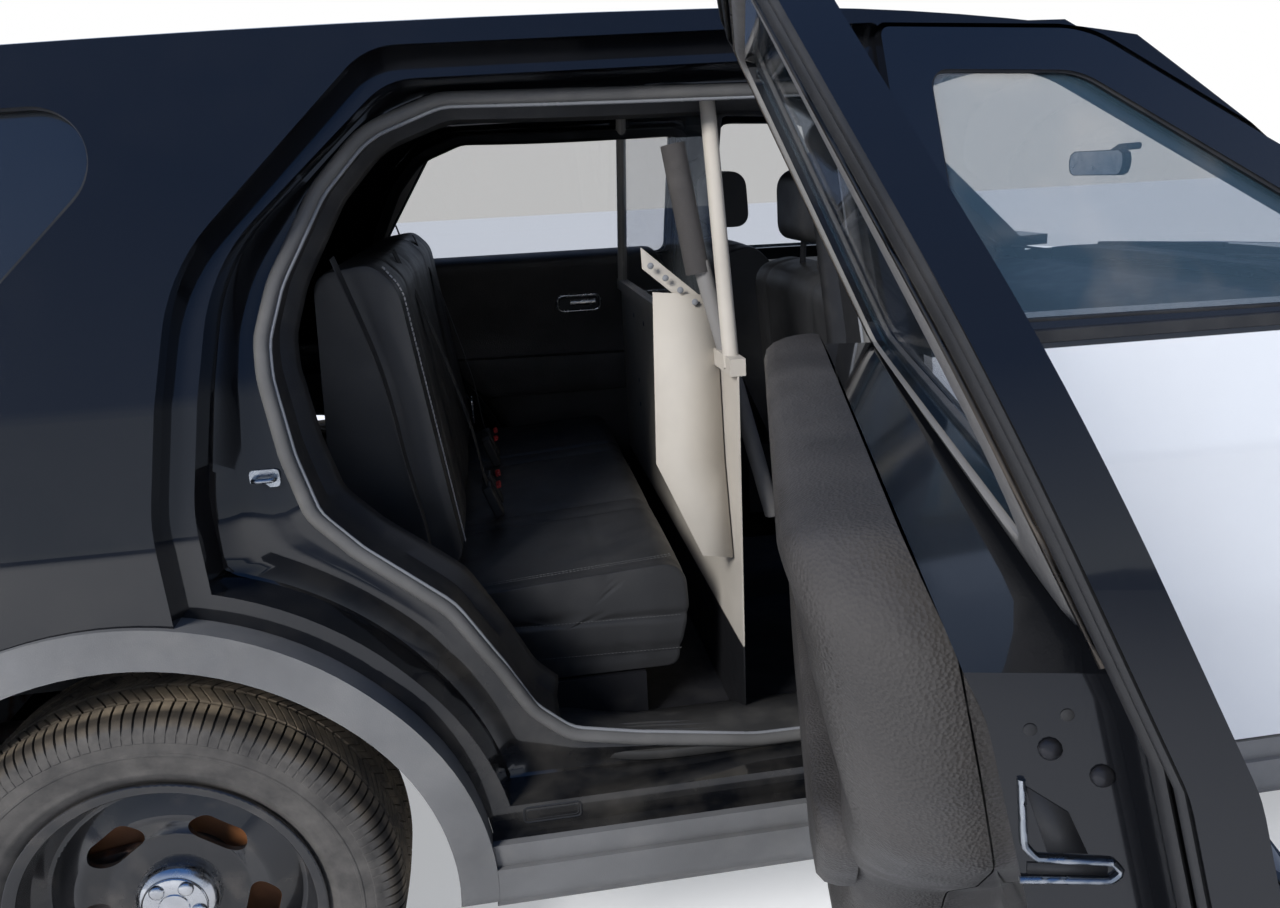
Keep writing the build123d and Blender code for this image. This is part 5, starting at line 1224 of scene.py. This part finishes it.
def belts():
    """Rear seat belts: webbing down the backs, stalks with their buckles, and a tongue."""
    ribbons, stalks, buttons = [], [], []
    lean = Matrix.Rotation(math.radians(-20), 3, "Y")
    section = [(-0.0235, -0.0007), (0.0235, -0.0007), (0.0235, 0.0007), (-0.0235, 0.0007)]
    for sign in (-1, 1):
        for route in (OUTER_BELT, INNER_BELT):
            path = evenly(rounded_path(np.array(route) * (1, sign, 1)), 0.012)
            ribbons.append(sweep(path, section, out=(1, 0, 0)))
        for y in (0.250, 0.160):
            stalks.append(block((-0.880, sign * y, 0.775), (0.022, 0.046, 0.075), lean))
            buttons.append(block((-0.8655, sign * y, 0.8085), (0.010, 0.032, 0.008), lean))
    show("belt_webbing", merged(*ribbons), "body", WEBBING)
    show("buckles", merged(*stalks), "body", JAMB_TRIM, bevel=0.004)
    show("buckle_buttons", merged(*buttons), "body", RED, bevel=0.0015)
    tongue, faces = plate(oblong(-0.010, -0.030, 0.010, 0.030, 0.004), -0.0012, 0.0012, 0)
    tongue = tongue @ np.array(Matrix.Rotation(0.4, 3, "X")).T + (-0.905, -0.268, 0.985)
    show("belt_tongue", (tongue, faces), "body", CHROME)


def rounded_path(points):
    """Smooth curve through points."""
    points = np.asarray(points, float)
    ends = np.vstack([2 * points[0] - points[1], points, 2 * points[-1] - points[-2]])
    made = []
    for a, b, c, d in zip(ends, ends[1:], ends[2:], ends[3:]):
        for t in np.linspace(0, 1, 12, endpoint=False):
            square, cube = (2 * a - 5 * b + 4 * c - d) * t * t, (3 * b - a - 3 * c + d) * t ** 3
            made.append(0.5 * (2 * b + (c - a) * t + square + cube))
    made.append(points[-1])
    return np.array(made)


VENT_Z = 1.008
MIRROR_Z = 1.425


def cabin_details():
    """Inside mirror, and the dashboard's vents."""
    ring = rounded([
        (-0.115, -0.030, 0.022), (0.115, -0.030, 0.022), (0.122, 0.030, 0.022), (-0.122, 0.030, 0.022),
    ])
    shell = plate(ring + (0.0, MIRROR_Z), 0.672, 0.690, 0)
    face = plate(ring * 0.93 + (0.0, MIRROR_Z), 0.6705, 0.6712, 0)
    route = evenly([(0.688, 0.0, 1.430), (0.735, 0.0, 1.460), (0.790, 0.0, 1.462)], 0.006)
    stem = sweep(route, circle(0.009))
    show("inside_mirror", merged(shell, stem), "body", JAMB_TRIM, bevel=0.003)
    show("inside_mirror_face", face, "body", MIRROR)
    vents, slats = [], []
    ring = evenly(oblong(-0.062, -0.030, 0.062, 0.030, 0.012), 0.006, True)
    for y in (-0.690, -0.150, 0.150, 0.690):
        rim = [(0.596, y + u, VENT_Z + v) for u, v in ring]
        vents.append(sweep(rim, circle(0.0050, 8), True, (-1, 0, 0)))
        for v in (-0.018, -0.006, 0.006, 0.018):
            slats.append(block((0.594, y, VENT_Z + v), (0.008, 0.112, 0.0025)))
    show("dash_vents", merged(*vents), "body", HANDLE_GREY)
    show("dash_slats", merged(*slats), "body", JAMB_TRIM)


def roof_caps():
    """Plain caps on the roof rails' inner trims."""
    caps = domes([(-0.62, s * 0.600, 1.640) for s in (-1, 1)], 0.012, 0.006, "z", -1)
    show("roof_trim_caps", caps, "body", HANDLE_GREY)


def outside_details():
    """Wipers, mirrors' glass and the blank plate."""
    arms = []
    for y0, y1 in ((0.62, -0.02), (0.05, -0.60)):
        path = rounded_path([(1.105, y0, 1.168), (1.070, (y0 + y1) / 2, 1.188), (1.045, y1, 1.205)])
        arms.append(sweep(evenly(path, 0.02), circle(0.0060, 8), out=(0, 0, 1)))
    show("wipers", merged(*arms), "body", JAMB_TRIM)
    ring = oblong(0.045, 1.205, 0.150, 1.335, 0.03)
    glass_ring = np.stack([-(ring[:, 0] - 0.045) * 0.95 - 1.008, ring[:, 1]], 1)
    for side in ("right", "left"):
        show_side("mirror_glass", plate(glass_ring, 0.7275, 0.7295, 0), side, f"door_front_{side}", MIRROR)
    ring = oblong(-0.152, 0.804, 0.152, 0.956, 0.008)
    show("blank_plate", plate(ring, -2.5945, -2.5925, 0), "liftgate", PLATE_WHITE)


tyres()
wheel_caps()
for side_name in ("right", "left"):
    doorway(side_name)
    front_doorway(side_name)
    sill_details(side_name)
    door_mouldings(side_name)
    handles(side_name)
    rear_door_inside(side_name)
rear_bench()
front_seat_pads()
partition_dressing()
belts()
cabin_details()
roof_caps()
outside_details()


def camera():
    """Camera at the photograph's viewing angle."""
    data = bpy.data.cameras.new("camera")
    data.sensor_fit = "HORIZONTAL"
    data.sensor_width = 36.0
    data.lens = FOCAL_PX / PHOTO_W * data.sensor_width
    data.clip_start = 0.05
    data.clip_end = 100.0
    made = placed("camera", data)
    turn = Matrix.Rotation(math.radians(-CAMERA_YAW), 3, "Z")
    tilt = Matrix.Rotation(math.radians(90 - CAMERA_PITCH), 3, "X")
    roll = Matrix.Rotation(math.radians(CAMERA_ROLL), 3, "Z")
    made.matrix_world = Matrix.Translation(CAMERA_AT) @ (turn @ tilt @ roll).to_4x4()
    bpy.context.scene.camera = made


FLOOR_REACH = 40.0
# Where the floor's own light starts and ends, from the origin, and its strength there
GLOW = (2.5, 12.0, 0.42, 1.0)
# Area lamps: name, place, size and power
LAMPS = [
    ("key", (-5.4, -5.6, 5.2), 2.2, 760.0),
    ("fill", (5.0, -5.0, 4.0), 5.0, 130.0),
    ("back", (0.0, 7.0, 6.0), 5.0, 260.0),
]
AIM = Vector((0, 0, 0.6))


def stage():
    """Pale floor, soft lights and a pale sky."""
    mesh = bpy.data.meshes.new("floor")
    corners = [(u * FLOOR_REACH, v * FLOOR_REACH, 0) for u, v in ((-1, -1), (1, -1), (1, 1), (-1, 1))]
    mesh.from_pydata(corners, [], [(0, 1, 2, 3)])
    floor = placed("floor", mesh)
    n = material("floor")
    tone = n.ramp(n.noise(40.0), (0.3, (0.60, 0.59, 0.575)), (0.7, (0.66, 0.65, 0.635)))
    n.set(Base_Color=tone, Roughness=0.9)
    n.set(Emission_Color=(0.95, 0.97, 1.0))
    n.set(Emission_Strength=n.math("MULTIPLY", n.seen(), n.fit(n.length(n.where), *GLOW)))
    mesh.materials.append(n.owner)
    for name, place, size, power in LAMPS:
        data = bpy.data.lights.new(name, "AREA")
        data.size = size
        data.energy = power
        lamp = placed(name, data)
        lamp.location = place
        lamp.rotation_euler = (AIM - Vector(place)).to_track_quat("-Z", "Y").to_euler()
        lamp.visible_glossy = False
    world = bpy.data.worlds.new("world")
    bpy.context.scene.world = world
    n = Nodes(world, "Background", "Generated")
    sky = n.ramp(n.axis(2), (0.0, (0.50, 0.56, 0.66)), (0.75, (0.05, 0.13, 0.34)))
    n.set(Color=n.mix(n.seen(), sky, (1.0, 1.0, 1.0)), Strength=1.0)


camera()
stage()
bpy.context.scene.view_settings.view_transform = "Standard"
